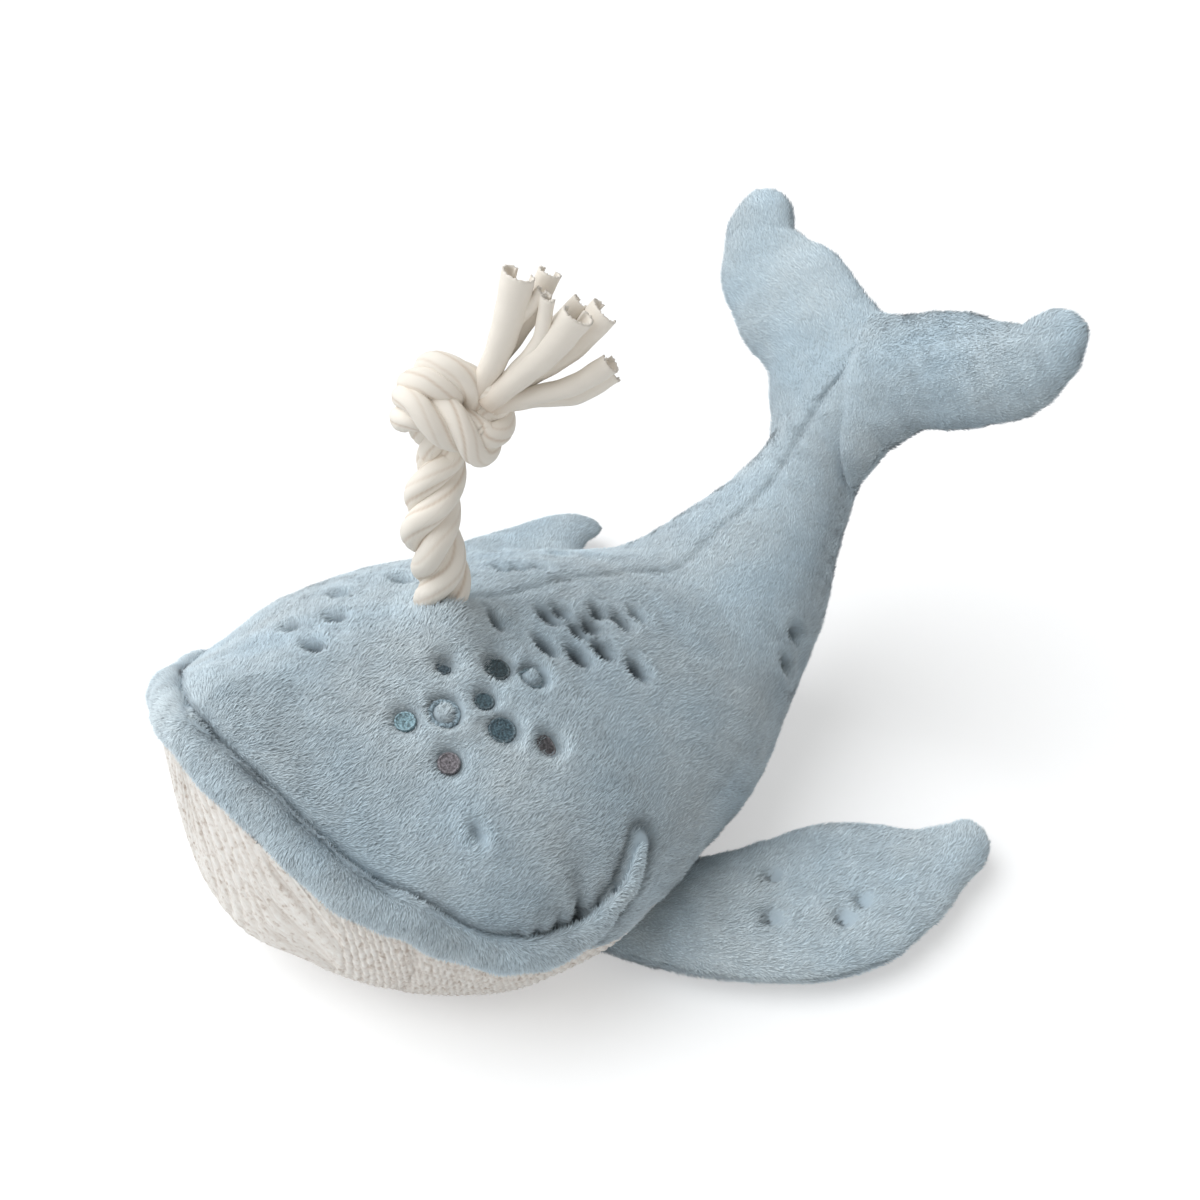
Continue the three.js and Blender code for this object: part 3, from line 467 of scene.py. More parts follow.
def trunk_form(along, turn):
    """Point of the trunk: a section whose half sizes above, below and beside follow the table, each
    quarter a superellipse; turn is 0 on the back and grows to the whale's left."""
    along, turn = np.broadcast_arrays(along, turn)
    centre, _, up, left = trunk_frame(along)
    size = spline(trunk_sizes, along)
    tail_end = end_round(1 - along, 0.04, 2)
    upper = np.cos(turn) > 0
    tall = np.where(upper, end_round(along, 0.08, 2.4), end_round(along, 0.08, 4.8)) * tail_end
    wide = end_round(along, 0.23, 2.4) * tail_end
    round_power = np.where(upper, 1.25 + 0.45 * smooth_step(along, 0, 0.45), 2.8)
    rise = np.sign(np.cos(turn)) * np.abs(np.cos(turn)) ** (2 / round_power)
    out = np.sign(np.sin(turn)) * np.abs(np.sin(turn)) ** (2 / round_power)
    points = (
        centre + (np.where(upper, size[..., 0], size[..., 1]) * tall * rise)[..., None] * up
        + (size[..., 2] * wide * out)[..., None] * left)
    points[..., 2] = np.maximum(points[..., 2], 0)
    return points


def grid_normals(points):
    """Outward normals of a grid of points whose rows run tailwards and columns to the left."""
    return unit(np.cross(np.gradient(points, axis=1), np.gradient(points, axis=0)))


knit_turns = np.radians([[4], [65], [87], [95], [98], [100], [103], [108]])


def knit_turn(along):
    """Angle from the back at which the plush ends and the knit belly begins."""
    beside = spline(knit_turns, np.minimum(along / 0.351, 1))[..., 0]
    return beside + (np.pi - beside) * smooth_step(along, 0.351, 0.64)


# Each spot: share along the spine, angle from the back, diameter, and what is stitched there
spots = [
    (0.204, 29.5, 8.4, "fill"), (0.239, 30.2, 12.5, "ring"), (0.264, 20, 6.5, "fill"),
    (0.218, 40.5, 8.8, "fill"), (0.279, 30, 8, "fill"), (0.278, 37, 11.5, "fill"),
    (0.31, 23.5, 11.5, "fill"), (0.335, 28, 11, "ring"), (0.308, 42.8, 9, "leaf")]
# Small dots of thread that sit deep in the pile: share along the spine, angle, diameter
dots = [
    (0.337, 11.2, 3.5), (0.383, 21.8, 4.5), (0.414, 12.2, 4.5), (0.426, 12.2, 3.5), (0.426, 19.8, 4),
    (0.409, 27, 5), (0.432, 27.5, 5), (0.438, 19.5, 4), (0.45, 16, 3.5), (0.463, 21.2, 4),
    (0.445, 36.5, 4.5), (0.485, 20.2, 3), (0.249, -30.2, 3.5), (0.182, -28, 4), (0.175, -10, 4),
    (0.217, -19, 4.5), (0.307, -23.2, 4), (0.444, -39.8, 4), (0.422, -19.2, 3.5), (0.434, -17.2, 3.5),
    (0.445, -14.5, 3), (0.474, -33.8, 4), (0.49, -28, 3.5), (0.208, 56.5, 2), (0.672, 88, 3.5),
    (0.639, 90, 3.5)]
stitched = np.array([spot[:3] for spot in spots] + dots, float)
ring_numbers = [number for number, spot in enumerate(spots) if spot[3] == "ring"]
stitched_at = trunk_form(stitched[:, 0], np.radians(stitched[:, 1]))
stitched_down = unit(trunk_form(stitched[:, 0], np.radians(stitched[:, 1] + 2)) - stitched_at)
# Folds at the mouth's corner: share along the spine, angle of the lower end, depth, height in mm
gathers = [
    (0.224, 91, 1.6, 9), (0.244, 91, 1.9, 9), (0.268, 88, 4.6, 19), (0.289, 90, 1.8, 11),
    (0.309, 87, 2.6, 14), (0.19, 93, 1.0, 8), (0.207, 92, 1.1, 7)]
# Middle line of the lip on the trunk, from one end round the nose to the other: share and angle
lip_places = np.array([
    [0.012, 0], [0.015, 28], [0.024, 44], [0.043, 57.5], [0.066, 71], [0.099, 83], [0.131, 89.5],
    [0.165, 92.5], [0.207, 95], [0.24, 95.2], [0.27, 94], [0.295, 91], [0.315, 86.5], [0.333, 80.5],
    [0.351, 75]])
lip_spots = np.vstack([lip_places[:0:-1], lip_places * [1, -1]]) * [1, math.pi / 180]
lip_middles = trunk_form(*lip_spots.T)
lip_sideways, lip_tailwards = (
    trunk_form(*(lip_spots + step).T) - trunk_form(*(lip_spots - step).T)
    for step in ([0, 0.01], [0.002, 0]))
lip_out = unit(np.cross(lip_sideways, lip_tailwards))
lip_out[len(lip_places) - 1] = unit(np.array([-1, 0, 0.25]))
lip_line = even_spline(lip_middles, np.linspace(0, 1, 240))


def gap_to_lip(points):
    """Distance from each point to the middle line of the lip."""
    return np.min([np.linalg.norm(points - middle, axis=-1) for middle in lip_line[::3]], axis=0)


def near_stitches(points, places, reach_mm):
    """For each point the distance to the nearest stitched place and the number of that place. The
    distance counts less down the flank, because the pile parts into slits that way."""
    best = np.full(points.shape[:-1], reach_mm * 10.0)
    which = np.zeros(points.shape[:-1], int)
    for number, place in enumerate(places):
        offset = points - place
        down = (offset @ stitched_down[number])[..., None] * stitched_down[number]
        distance = np.linalg.norm(offset - (0.12 if number < len(spots) else 0.42) * down, axis=-1)
        closer = distance < best
        best[closer], which[closer] = distance[closer], number
    return best, which


def trunk_relief(along, turn, points):
    """How far the plush is pushed in or out, and a factor from 1 to 0 that paints shade into the pile's
    tone: sums of soft waves for the lumps of stuffing, and of bell curves over the distance to the seam
    of the back, to the lip, to each stitched spot, to the rope and to the folds that fan up from the
    mouth's corner. The painted shade lies in the seams, the folds and the dents round the stitches."""
    x, y, z = points[..., 0], points[..., 1], points[..., 2]
    lumps = (
        0.9 * np.sin(x / 23 + 1.1 * np.sin(y / 31)) * np.sin(z / 19 + 0.6 + y / 47)
        + 0.5 * np.sin(x / 11 + y / 15 + 1) * np.sin(y / 12 - z / 14))
    centre, _, _, left = trunk_frame(along)
    beside = ((points - centre) * left).sum(-1)
    on_back = np.cos(turn) > 0
    wander = 0.8 * np.sin(along * 42) - 6 * np.exp(-((along - 0.53) / 0.13) ** 2)
    seam = np.where(on_back, np.exp(-((beside - wander) / 2.8) ** 2), 0) * smooth_step(along, 0.315, 0.35)
    broad = np.where(on_back, np.exp(-(beside / 11) ** 2), 0) * smooth_step(along, 0.33, 0.5)
    under = np.where(on_back, 0, np.exp(-(beside / 2.5) ** 2)) * smooth_step(along, 0.62, 0.68)
    pucker = 0.35 * np.sin(along * 260) * np.exp(-(beside / 7) ** 2) * on_back
    pucker = pucker * smooth_step(along, 0.36, 0.45)
    distance, which = near_stitches(points, stitched_at, 20)
    radius = stitched[which, 2] / 2
    is_spot, is_ring = which < len(spots), np.isin(which, ring_numbers)
    pull = np.clip(radius / 1.7, 0, 1) ** 2
    dish = np.where(is_spot, 3.8, 7.5 * pull) / (
        1 + (distance / (radius + np.where(is_spot, 1.6, 1.0))) ** 3.6)
    ring_groove = 3.2 * np.exp(-((distance - radius + 1) / 2.0) ** 2) + 0.6 * (distance < radius)
    dish = np.where(is_ring, ring_groove, dish) - np.where(is_spot, 0.4, 0.9) * np.exp(
        -((distance - radius - 4.2) / 2.4) ** 2)
    foot = np.linalg.norm((points - rope_root - [-4, -12, -5]) * [1, 1, 0.6], axis=-1)
    collar = 12 * np.exp(-(foot / 12.5) ** 2)
    folds, degrees = 0, np.degrees(turn)
    for fold_along, fold_turn, deep, rise in gathers:
        way = (degrees - fold_turn) * 1.75
        across = (along - fold_along) * 450 + 0.12 * way
        folds = folds + 1.25 * deep * np.exp(-(across / (1.9 + 0.03 * deep * np.abs(way))) ** 2) * np.exp(
            -np.maximum(-way, 0) / rise) * (way < 12)
    bend = 1.6 * np.exp(
        -((along - 0.66 - 0.0006 * (degrees - 80)) / 0.012) ** 2 - ((degrees - 84) / 26) ** 2)
    neck = 1.3 * np.exp(-((along - 0.605) / 0.016) ** 2 - ((degrees - 97) / 22) ** 2)
    lip_seam = np.exp(-((gap_to_lip(points) - 7.2) / 2.6) ** 2)
    relief = (
        lumps + pucker + collar - 1.6 * seam - 1.0 * broad - 1.2 * under - dish - folds - bend - neck
        - 2.0 * lip_seam)
    edge_gap = np.where(is_ring, np.abs(distance - radius + 1), np.maximum(distance - radius + 0.5, 0))
    # Painted shade: the factor darkens the pile's tone in the back seam, the belly seam, along the lip,
    # in the folds and round the stitches
    closed = 1 - np.clip(
        0.24 * seam * (1 + 0.6 * np.sin(along * 330) * np.sin(along * 117)) + 0.2 * under + 0.6 * lip_seam
        + 0.14 * folds
        + np.where(is_spot, 0.7, pull) * np.exp(-(edge_gap / np.where(is_spot, 1.7, 1.9)) ** 2), 0, 1)
    return relief, closed


def colour_ramp(tree, factor, *stops):
    """Output of a colour ramp; each stop is its place and its colour, in rising order."""
    ramp = add_node(tree, "ValToRGB", {"Fac": factor})
    marks = ramp.color_ramp.elements
    for number, (place, colour) in enumerate(stops):
        mark = marks[number] if number < 2 else marks.new(place)
        mark.position, mark.color = place, (*colour, 1)
    return ramp.outputs["Color"]


def plush_material(name, root, tip):
    """Grey-blue plush: painted shade in the pile, dark at the root and pale at the tip by the attribute
    pile, with each tuft a little lighter or darker by the attribute tone, which also carries painted
    light and shade, and clouds a few centimetres wide."""
    material, shader, tree = plain_material(name, tip, 0.85, 0.15, 0.4)
    clouds = colour_ramp(
        tree, noise_by_place(tree, 24, 4), (0.3, (0.90, 0.96, 1.0)), (0.7, (1.0, 0.985, 0.97)))
    colour = mix_colours(tree, (*root, 1), (*tip, 1), read_attribute(tree, "pile"))
    level = add_node(tree, "MapRange", {
        "Value": read_attribute(tree, "tone"), "To Min": 0.12, "To Max": 1.32})
    shade = add_node(tree, "HueSaturation", {
        "Color": mix_colours(tree, colour, clouds, 1, "MULTIPLY"), "Value": level.outputs["Result"]})
    feed_node(tree, shader, {
        "Base Color": shade.outputs["Color"], "Sheen Roughness": 0.5, "Sheen Tint": (0.85, 0.92, 1, 1)})
    return material


def closed_cloth(name, outside, inside, coarse, material):
    """Cloth as a closed body: a fine outer grid and an inner grid that takes every coarse-th point,
    joined along their edges by fans of triangles."""
    rows, columns = outside.shape[:2]
    few_rows, few_columns = inside.shape[:2]
    inner_faces = grid_faces(few_rows, few_columns, ring=False)[:, ::-1] + rows * columns
    outer_index = np.arange(rows * columns).reshape(rows, columns)
    inner_index = np.arange(few_rows * few_columns).reshape(few_rows, few_columns) + rows * columns
    round_outer, round_inner = (
        np.concatenate([index[0, :-1], index[:-1, -1], index[-1, :0:-1], index[:0:-1, 0]])
        for index in (outer_index, inner_index))
    span = np.arange(len(round_inner))
    following = np.roll(round_inner, -1)
    ahead = np.roll(round_outer, -1)
    fans = [
        np.stack([
            ahead[span * coarse + step], round_outer[span * coarse + step],
            round_inner if step < coarse / 2 else following], 1) for step in range(coarse)]
    middle = np.stack([round_outer[span * coarse + coarse // 2], round_inner, following], 1)
    points = np.concatenate([outside.reshape(-1, 3), inside.reshape(-1, 3)])
    faces = [grid_faces(rows, columns, ring=False), inner_faces]
    return make_mesh(name, points, [np.concatenate(faces), np.concatenate([*fans, middle])], material)


# Painted shade: the backing, which shows between the tufts, is darker than the pile, as if in the pile's
# shade
plush_backing_painted_shade = plush_material("plush_backing_painted_shade", (0.24, 0.29, 0.33), (0.66, 0.77, 0.83))
plush_pile = plush_material("plush_pile", (0.3, 0.37, 0.415), (0.83, 0.935, 0.985))
skin_rows, skin_columns = 281, 241
skin_share = np.linspace(0, 1, skin_rows)
skin_along = 0.004 + 0.992 * (0.35 * skin_share ** 2 + 0.65 * skin_share)
skin_across = np.linspace(-1, 1, skin_columns)
skin_turn = skin_across[None, :] * np.minimum(knit_turn(skin_along) + 0.03, np.pi - 0.012)[:, None]
skin_base = trunk_form(skin_along[:, None], skin_turn)
skin_out = grid_normals(skin_base)
skin_relief, skin_painted_shade_factor = trunk_relief(skin_along[:, None], skin_turn, skin_base)
skin_points = skin_base + skin_relief[..., None] * skin_out
# The cloth's inner side stays below the deepest place of the outer side near it
deepest = np.maximum(-skin_relief, 0)
for axis in (0, 1):
    deepest = np.max([np.roll(deepest, step, axis) for step in range(-5, 6)], axis=0)
cloth_thickness, inner_step = 3.0, 4
skin_inside = (skin_base - (cloth_thickness + deepest)[..., None] * skin_out)[::inner_step, ::inner_step]
skin = closed_cloth("body_plush", skin_points * mm, skin_inside * mm, inner_step, plush_backing_painted_shade)
add_value(skin, "pile", np.full(len(skin.data.vertices), 0.5))
# Painted shade: the backing's tone darkens with the same factor
skin_tone = np.full(len(skin.data.vertices), 0.73)
skin_tone[:skin_rows * skin_columns] *= 0.05 + 0.95 * skin_painted_shade_factor.ravel()
add_value(skin, "tone", skin_tone)
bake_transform(skin)
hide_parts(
    "back_panel_left", "back_panel_right", "tail_panel_left", "tail_panel_right", "body_stuffing",
    "tail_stuffing", "rope_anchor")


# Pile of the plush: tapering tufts of fibre about 3 mm long that lie towards the tail and a little
# towards the back, closer and longer in some places than in others.
def scatter(points, count, seed, keep=None):
    """Roots spread evenly over a grid surface: cells are drawn in order by their share of the area,
    each root lies at a random place in its cell; gives row and column places."""
    random = np.random.default_rng(seed)
    across, down = np.diff(points, axis=1)[:-1], np.diff(points, axis=0)[:, :-1]
    area = np.linalg.norm(np.cross(across, down), axis=-1)
    if keep is not None:
        area = area * keep[:-1, :-1]
    total = np.cumsum(area.ravel())
    drawn = (np.arange(count) + random.random(count)) / count * total[-1]
    cell = np.minimum(np.searchsorted(total, drawn), area.size - 1)
    row, column = np.divmod(cell, area.shape[1])
    return row + random.random(count), column + random.random(count)


def read_grid(grid, row, column):
    """Value of a grid between its points, by the four nearest."""
    low_row = np.minimum(row.astype(int), grid.shape[0] - 2)
    low_column = np.minimum(column.astype(int), grid.shape[1] - 2)
    down, across = (row - low_row)[:, None], (column - low_column)[:, None]
    above, below = (
        grid[near_row, low_column] * (1 - across) + grid[near_row, low_column + 1] * across
        for near_row in (low_row, low_row + 1))
    return above * (1 - down) + below * down


def add_pile(name, grids, count, seeds, keep=None, ring=False, on_floor=1.0, lean=36.0):
    """One closed three-sided spike for each root, that leans from the skin along the nap. The grids
    are the skin's points, normals, nap, pile lengths and a factor of painted light and shade, 1 for
    none, for the tone; a root within 2.5 mm of the floor carries only a share of the length. Shading
    normals are mostly the skin's, so that the pile looks soft. Tufts a few millimetres wide share a
    direction: slow waves through the root's place turn and lift the nap. The attribute pile paints
    shade at the tufts' roots."""
    rows, columns = grids[0].shape[:2]
    grids = [grid if grid.ndim == 3 else grid[..., None] for grid in grids]
    if ring:
        grids = [np.concatenate([grid, grid[:, :1]], 1) for grid in grids]
    row, column = scatter(grids[0], int(count * share_of_pile), seeds[0], keep)
    root, out, nap, length, closed = (read_grid(grid, row, column) for grid in grids)
    out = unit(out)
    nap = unit(nap - (nap * out).sum(1, keepdims=True) * out)
    random = np.random.default_rng(seeds[1])
    count = len(root)
    x, y, z = root.T
    swirl = 0.18 * np.sin(x / 3.1 + 2.2 * np.sin(y / 4.7) + z / 3.9) + 0.14 * np.sin(
        y / 2.3 + z / 1.9 + 1.7 * np.sin(x / 5.3)) + 0.16 * np.sin(x / 13 + z / 17)
    lift = 7 * np.sin(x / 2.7 + z / 3.3 + 2 * np.sin(y / 4.1)) + random.normal(0, 7, count)
    angle = swirl + random.normal(0, 0.22, count)
    side = unit(np.cross(nap, out))
    way = nap * np.cos(angle)[:, None] + side * np.sin(angle)[:, None]
    side = unit(np.cross(way, out))
    rise = np.radians(np.clip(lean + lift, 6, 75))[:, None]
    direction = way * np.cos(rise) + out * np.sin(rise)
    ridge = np.cross(side, direction)
    size = length[:, 0] * np.where(z < 2.5, on_floor, 1) * random.uniform(0.7, 1.2, count)
    half = 0.26 * random.uniform(0.7, 1.25, (count, 1))
    foot = root - 0.35 * out
    points = np.stack([
        foot + side * half, foot - side * half, foot + ridge * half * 0.9,
        foot + direction * size[:, None]], 1)
    corner = np.array([[2, 3, 1], [2, 0, 3], [0, 1, 3], [0, 2, 1]])
    faces = (corner[None] + 4 * np.arange(count)[:, None, None]).reshape(-1, 3)
    piece = make_mesh(name, points.reshape(-1, 3) * mm, [faces], plush_pile)
    soft = unit(np.stack([
        0.8 * out + lift * ridge + turn * side
        for lift, turn in ((0.1, 0.25), (0.1, -0.25), (0.25, 0), (0.25, 0))], 1))
    piece.data.normals_split_custom_set_from_vertices(soft.reshape(-1, 3).tolist())
    # Painted shade: each spike is dark at its root and pale at its tip
    add_value(piece, "pile", np.tile([0.1, 0.1, 0.25, 1.0], count))
    cloud = (
        0.05 * np.sin(x / 5 + 2 * np.sin(z / 7)) * np.sin(y / 6 + z / 5)
        + 0.04 * np.sin(x / 1.9 + 1.5 * np.sin(y / 2.9)) * np.sin(z / 1.7 + y / 2.3))
    # Random tone, times the grid's factor of painted light and shade
    tone = (0.73 + cloud + random.normal(0, 0.075, count)) * (0.1 + 0.9 * closed[:, 0])
    add_value(piece, "tone", np.repeat(np.clip(tone, 0, 1), 4))
    place = np.stack([row / rows, column / columns], 1)
    flat = np.stack([place, place, place, place + size[:, None] * [0.0012, 0]], 1)
    add_uv(piece, flat.reshape(-1, 2), "OFBake")
    return piece


skin_normal = grid_normals(skin_points)
tailward = unit(np.gradient(skin_points, axis=0))
backward = unit(np.gradient(skin_points, axis=1)) * -np.sign(skin_across)[None, :, None]
slant = 0.55 * smooth_step(np.abs(skin_across), 0.05, 0.5)[None, :, None]
skin_nap = unit(tailward + slant * backward)
shown = (gap_to_lip(skin_points) > 6.0) & (skin_along[:, None] < 0.985)
to_stitch, stitch_number = near_stitches(skin_base, stitched_at, 20)
stitch_radius = stitched[stitch_number, 2] / 2
bare = np.where(
    np.isin(stitch_number, ring_numbers), np.abs(to_stitch - stitch_radius + 1) < 1.0,
    to_stitch < stitch_radius - np.where(stitch_number < len(spots), 0.9, 0.4))
rope_foot = np.linalg.norm(skin_points - (rope_root + [0, 0, 4]), axis=-1)
shown = shown & ~bare & (rope_foot > 10.5)
skin_length = 2.7 * np.clip(0.6 + np.abs(to_stitch - stitch_radius) / 9, 0.65, 1) + 2.4 * np.exp(
    -((rope_foot - 13) / 6) ** 2)
quarters = [("left", 0, 0.38), ("right", 0, 0.38), ("left", 0.38, 1), ("right", 0.38, 1)]
share_of_pile = 1
for number, (side_name, first, last) in enumerate(quarters):
    part = shown & (skin_along[:, None] >= first) & (skin_along[:, None] < last)
    part = part & ((skin_across > 0) if side_name == "left" else (skin_across <= 0))[None, :]
    piece = add_pile(
        f"body_pile_{number + 1}", (skin_points, skin_normal, skin_nap, skin_length, skin_painted_shade_factor), 49000,
        (11 + number, 31 + number), part)
    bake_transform(piece)


# Padded lip: a roll of the same plush, sewn along the mouth line from one flipper round the nose to
# the other. Its pile falls across it, from the seam down over the edge of the knit.
def lip_form(along, turn):
    """Roll round the mouth line: half its width across the line and half its thickness outwards,
    with round ends; turn is 0 on the upper side and a quarter on the outer side. Gives the points
    and the direction across the line."""
    along, turn = np.broadcast_arrays(along, turn)
    raw = even_places(lip_middles, along, 2001)
    outward = unit(spline(lip_out, raw))
    tangent = unit(spline(lip_middles, raw + 1e-3) - spline(lip_middles, raw - 1e-3))
    across = unit(np.cross(tangent, outward))
    to_end = np.minimum(along, 1 - along)
    size = end_round(to_end, 0.012, 2) * (0.3 + 0.7 * smooth_step(to_end, 0, 0.17))
    return (
        spline(lip_middles, raw) + (8 * size * np.cos(turn))[..., None] * across
        + (6.5 * size * np.sin(turn))[..., None] * outward), across


lip_rows, lip_columns = 261, 40
lip_along = np.linspace(0.0008, 0.9992, lip_rows)
lip_turn = np.linspace(0, 2 * np.pi, lip_columns, endpoint=False)
lip_grid, lip_across = lip_form(lip_along[:, None], lip_turn[None, :])
lip_normal = unit(np.cross(
    np.roll(lip_grid, -1, 1) - np.roll(lip_grid, 1, 1), np.gradient(lip_grid, axis=0)))
lip_middle = lip_grid.mean(1, keepdims=True)
lip_normal *= np.sign(((lip_grid - lip_middle) * lip_normal).sum(-1, keepdims=True).mean())
run_mm = lip_along[:, None] * 560
lip_relief = (
    0.5 * np.sin(run_mm / 9 + 0.8 * np.sin(run_mm / 23)) * np.sin(lip_turn)[None, :]
    + 0.35 * np.sin(run_mm / 4.3 + 2 * lip_turn[None, :]) - 0.2)
lip_grid = lip_grid + lip_relief[..., None] * lip_normal
lip_faces = lip_grid
lip_way = np.cross(lip_grid[11, 0] - lip_grid[10, 0], lip_normal[10, 0])
if (lip_grid[10, 1] - lip_grid[10, 0]) @ lip_way > 0:
    lip_faces = lip_grid[:, ::-1]
lip = capped_tube("lip_plush", lip_faces * mm, plush_backing_painted_shade)
add_value(lip, "pile", np.full(lip_rows * lip_columns, 0.5))
add_value(lip, "tone", np.full(lip_rows * lip_columns, 0.7))
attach(lip, "body")
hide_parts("lip")
lower = lip_across[:, :1] * np.sign((lip_across[lip_rows // 4, 0] @ [0, 0, 1]))
falling = -(lower - (lower * lip_normal).sum(-1, keepdims=True) * lip_normal)
along_lip = unit(np.gradient(lip_grid, axis=0)) * np.sign(lip_along - 0.5)[:, None, None]
lip_nap = unit(unit(falling) + 0.55 * along_lip)
lip_show = np.broadcast_to(np.sin(np.append(lip_turn, 0)) > -0.45, (lip_rows, lip_columns + 1))
lip_ones = np.ones((lip_rows, lip_columns))
piece = add_pile(
    "lip_pile", (lip_grid, lip_normal, lip_nap, 2.8 * lip_ones, lip_ones), 46000, (51, 52), lip_show,
    ring=True, lean=32)
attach(piece, "body")


# Knit belly: cream rib knit of a flecked yarn in two panels, a chin and a belly, sewn across behind
# the chin. Its ribs run down from the lip and bend towards the tail under the body.
def knit_material():
    """Cream flecked yarn: pale fibre with brown and grey flecks, with painted shade in the furrows
    between the ribs and stitches and along the seam by the attribute furrow, and a fine fuzz of bumps."""
    material, shader, tree = plain_material("flecked_knit", (0.78, 0.73, 0.67), 0.95, 0.15, 0.15)
    fleck = colour_ramp(
        tree, noise_by_place(tree, 420, 3), (0.28, (0.55, 0.47, 0.41)), (0.44, (0.85, 0.81, 0.76)),
        (0.7, (0.93, 0.915, 0.88)))
    feed_node(tree, shader, {
        "Base Color": mix_colours(tree, fleck, (0.5, 0.42, 0.36, 1), read_attribute(tree, "furrow_shade")),
        "Normal": bump_normal(tree, noise_by_place(tree, 1500, 6), 0.6, 0.5)})
    return material


knit = knit_material()
for name, node, first, last, rows, columns in (
        ("chin_knit", "chin_panel", 0, 0.1303, 125, 325),
        ("belly_knit", "belly_panel", 0.1297, 0.64, 301, 285)):
    if first < 0.1:
        # The chin's front is steep: its rows lie at even steps of its height
        front = 0.08 * (1 - (1 - np.linspace(0.02, 1, 81) ** 4.8) ** (1 / 4.8))
        along = np.concatenate([front, np.linspace(0.08, last, rows - 80)[1:]])
    else:
        along = np.linspace(first, last, rows)
    edge = np.minimum(knit_turn(along) + 0.006, np.pi - 0.004)
    across = np.linspace(-1, 1, columns)
    turn = np.pi + across[None, :] * (np.pi - edge)[:, None]
    base = trunk_form(along[:, None], turn)
    out = grid_normals(base)
    side_run = np.concatenate([
        np.zeros((rows, 1)), np.cumsum(np.linalg.norm(np.diff(base, axis=1), axis=-1), 1)], 1)
    side_run = np.abs(side_run - side_run[:, columns // 2][:, None])
    spine_run = along[:, None] * 450
    # Ribs 4 mm apart lie at an angle that grows towards the flippers; stitches 3 mm apart cross them
    rib = spine_run * 0.93 + side_run * (0.18 + 0.42 * smooth_step(spine_run, 20, 110))
    stitch = side_run - 0.3 * spine_run
    wave = rib / 4.0 + 0.10 * np.sin(stitch * 0.9) + 0.12 * np.sin(spine_run / 9 + side_run / 13)
    ridge = np.abs(np.sin(np.pi * wave)) ** 0.8
    bead = 0.5 + 0.5 * np.sin(2 * np.pi * (stitch / 3.0 + 0.5 * np.floor(wave)))
    yarn = np.sin(base[..., 0] * 2.3 + 3 * np.sin(base[..., 1] * 1.1)) * np.sin(
        base[..., 1] * 1.9 + base[..., 2] * 2.1)
    relief = 0.75 * ridge + 0.4 * ridge * bead + 0.12 * yarn
    seam_gap = (along[:, None] - 0.13) * 450
    seam = np.exp(-(seam_gap / 1.9) ** 2)
    relief = relief - 0.9 * seam + 0.5 * np.sin(base[..., 0] / 17) * np.sin(base[..., 1] / 21 + 1)
    raised = base + (relief - 0.5)[..., None] * out
    low = raised[..., 2] < 0.25
    raised[low, 2] = 0.25 + 0.3 * (relief[low] - 0.5)
    inside = (base - 3.2 * out)[::4, ::4]
    inside[..., 2] = np.maximum(inside[..., 2], 1.6)
    piece = closed_cloth(name, raised[:, ::-1] * mm, inside[:, ::-1] * mm, 4, knit)
    if (grid_normals(raised)[rows // 2, columns // 2] @ [0, 0, -1]) < 0:
        piece.data.flip_normals()
    # Painted shade: darker in the furrows between the ribs and stitches and along the seam
    furrow_shade = np.zeros(len(piece.data.vertices))
    furrow_shade[:rows * columns] = (
        0.5 * (1 - ridge) ** 1.5 + 0.16 * (1 - bead) + 0.12 * seam)[:, ::-1].ravel()
    add_value(piece, "furrow_shade", furrow_shade)
    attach(piece, "body")
    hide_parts(node)


# Flukes and flippers: each is two panels of plush sewn round the edge and stuffed, then sewn to the
# tail or the flank. The flukes stand in the plane of the tail's end; the flippers lie on the floor.
def limb_edges(line, chords):
    """Leading and trailing edge of a flat limb, in its plane, at 33 even shares of its line: half a
    chord to each side of the line and square to it."""
    share = np.linspace(0, 1, 33)
    middle = even_spline(line, share)
    ahead, behind = (even_spline(line, np.clip(share + step, 0, 1)) for step in (1e-3, -1e-3))
    slope = unit(ahead - behind)
    half = spline(chords[:, None], share) * np.stack([slope[:, 1], -slope[:, 0]], 1)
    return np.concatenate([middle + half, middle - half], 1)


def limb_form(edges, paddings, place, along, turn):
    """Padded limb between two edges in a plane: its section is a lens that is drawn in at the seam
    round the edge; place holds the plane's three directions and its origin."""
    along, turn = np.broadcast_arrays(along, turn)
    edge = spline(edges, along)
    tip_share = 0.14 * 32 / (len(edges) - 1)
    size = end_round(along, 0.03, 2) * end_round(1 - along, tip_share, 2)
    chord = (0.5 * size * np.cos(turn))[..., None] * (edge[..., :2] - edge[..., 2:])
    padding = size * spline(paddings[:, None], along)[..., 0] * np.sign(np.sin(turn)) * (
        np.abs(np.sin(turn)) ** 1.12)
    flat = np.concatenate([0.5 * (edge[..., :2] + edge[..., 2:]) + chord, padding[..., None]], -1)
    directions, origin = place
    return flat @ directions + origin


# Middle lines, chords and paddings of the limbs, as shares of their length, width and thickness
fluke_line = np.array([
    [0.117, -0.349], [0.355, -0.113], [0.639, 0.047], [0.785, 0.152], [0.901, 0.469], [0.963, 0.58]])
fluke_chords = np.array([0.494, 0.411, 0.408, 0.34, 0.267, 0.198])
fluke_paddings = np.array([1, 1, 0.92, 0.82, 0.68, 0.55])
flipper_line = np.array([
    [-0.07, 0.114], [0.073, -0.012], [0.185, -0.192], [0.234, -0.337], [0.262, -0.506],
    [0.297, -0.748], [0.274, -0.868], [0.226, -0.929]])
flipper_chords = np.array([0.338, 0.386, 0.485, 0.551, 0.554, 0.442, 0.23, 0.168])
flipper_paddings = np.array([0.9, 0.95, 1, 0.95, 0.85, 0.72, 0.6, 0.5])
tail_end, end_forward, end_up, end_left = trunk_frame(np.array(1.0))
fluke_length, fluke_width, flipper_length, flipper_width, limb_padding = 98, 62, 154, 70, 12.5
limbs = []
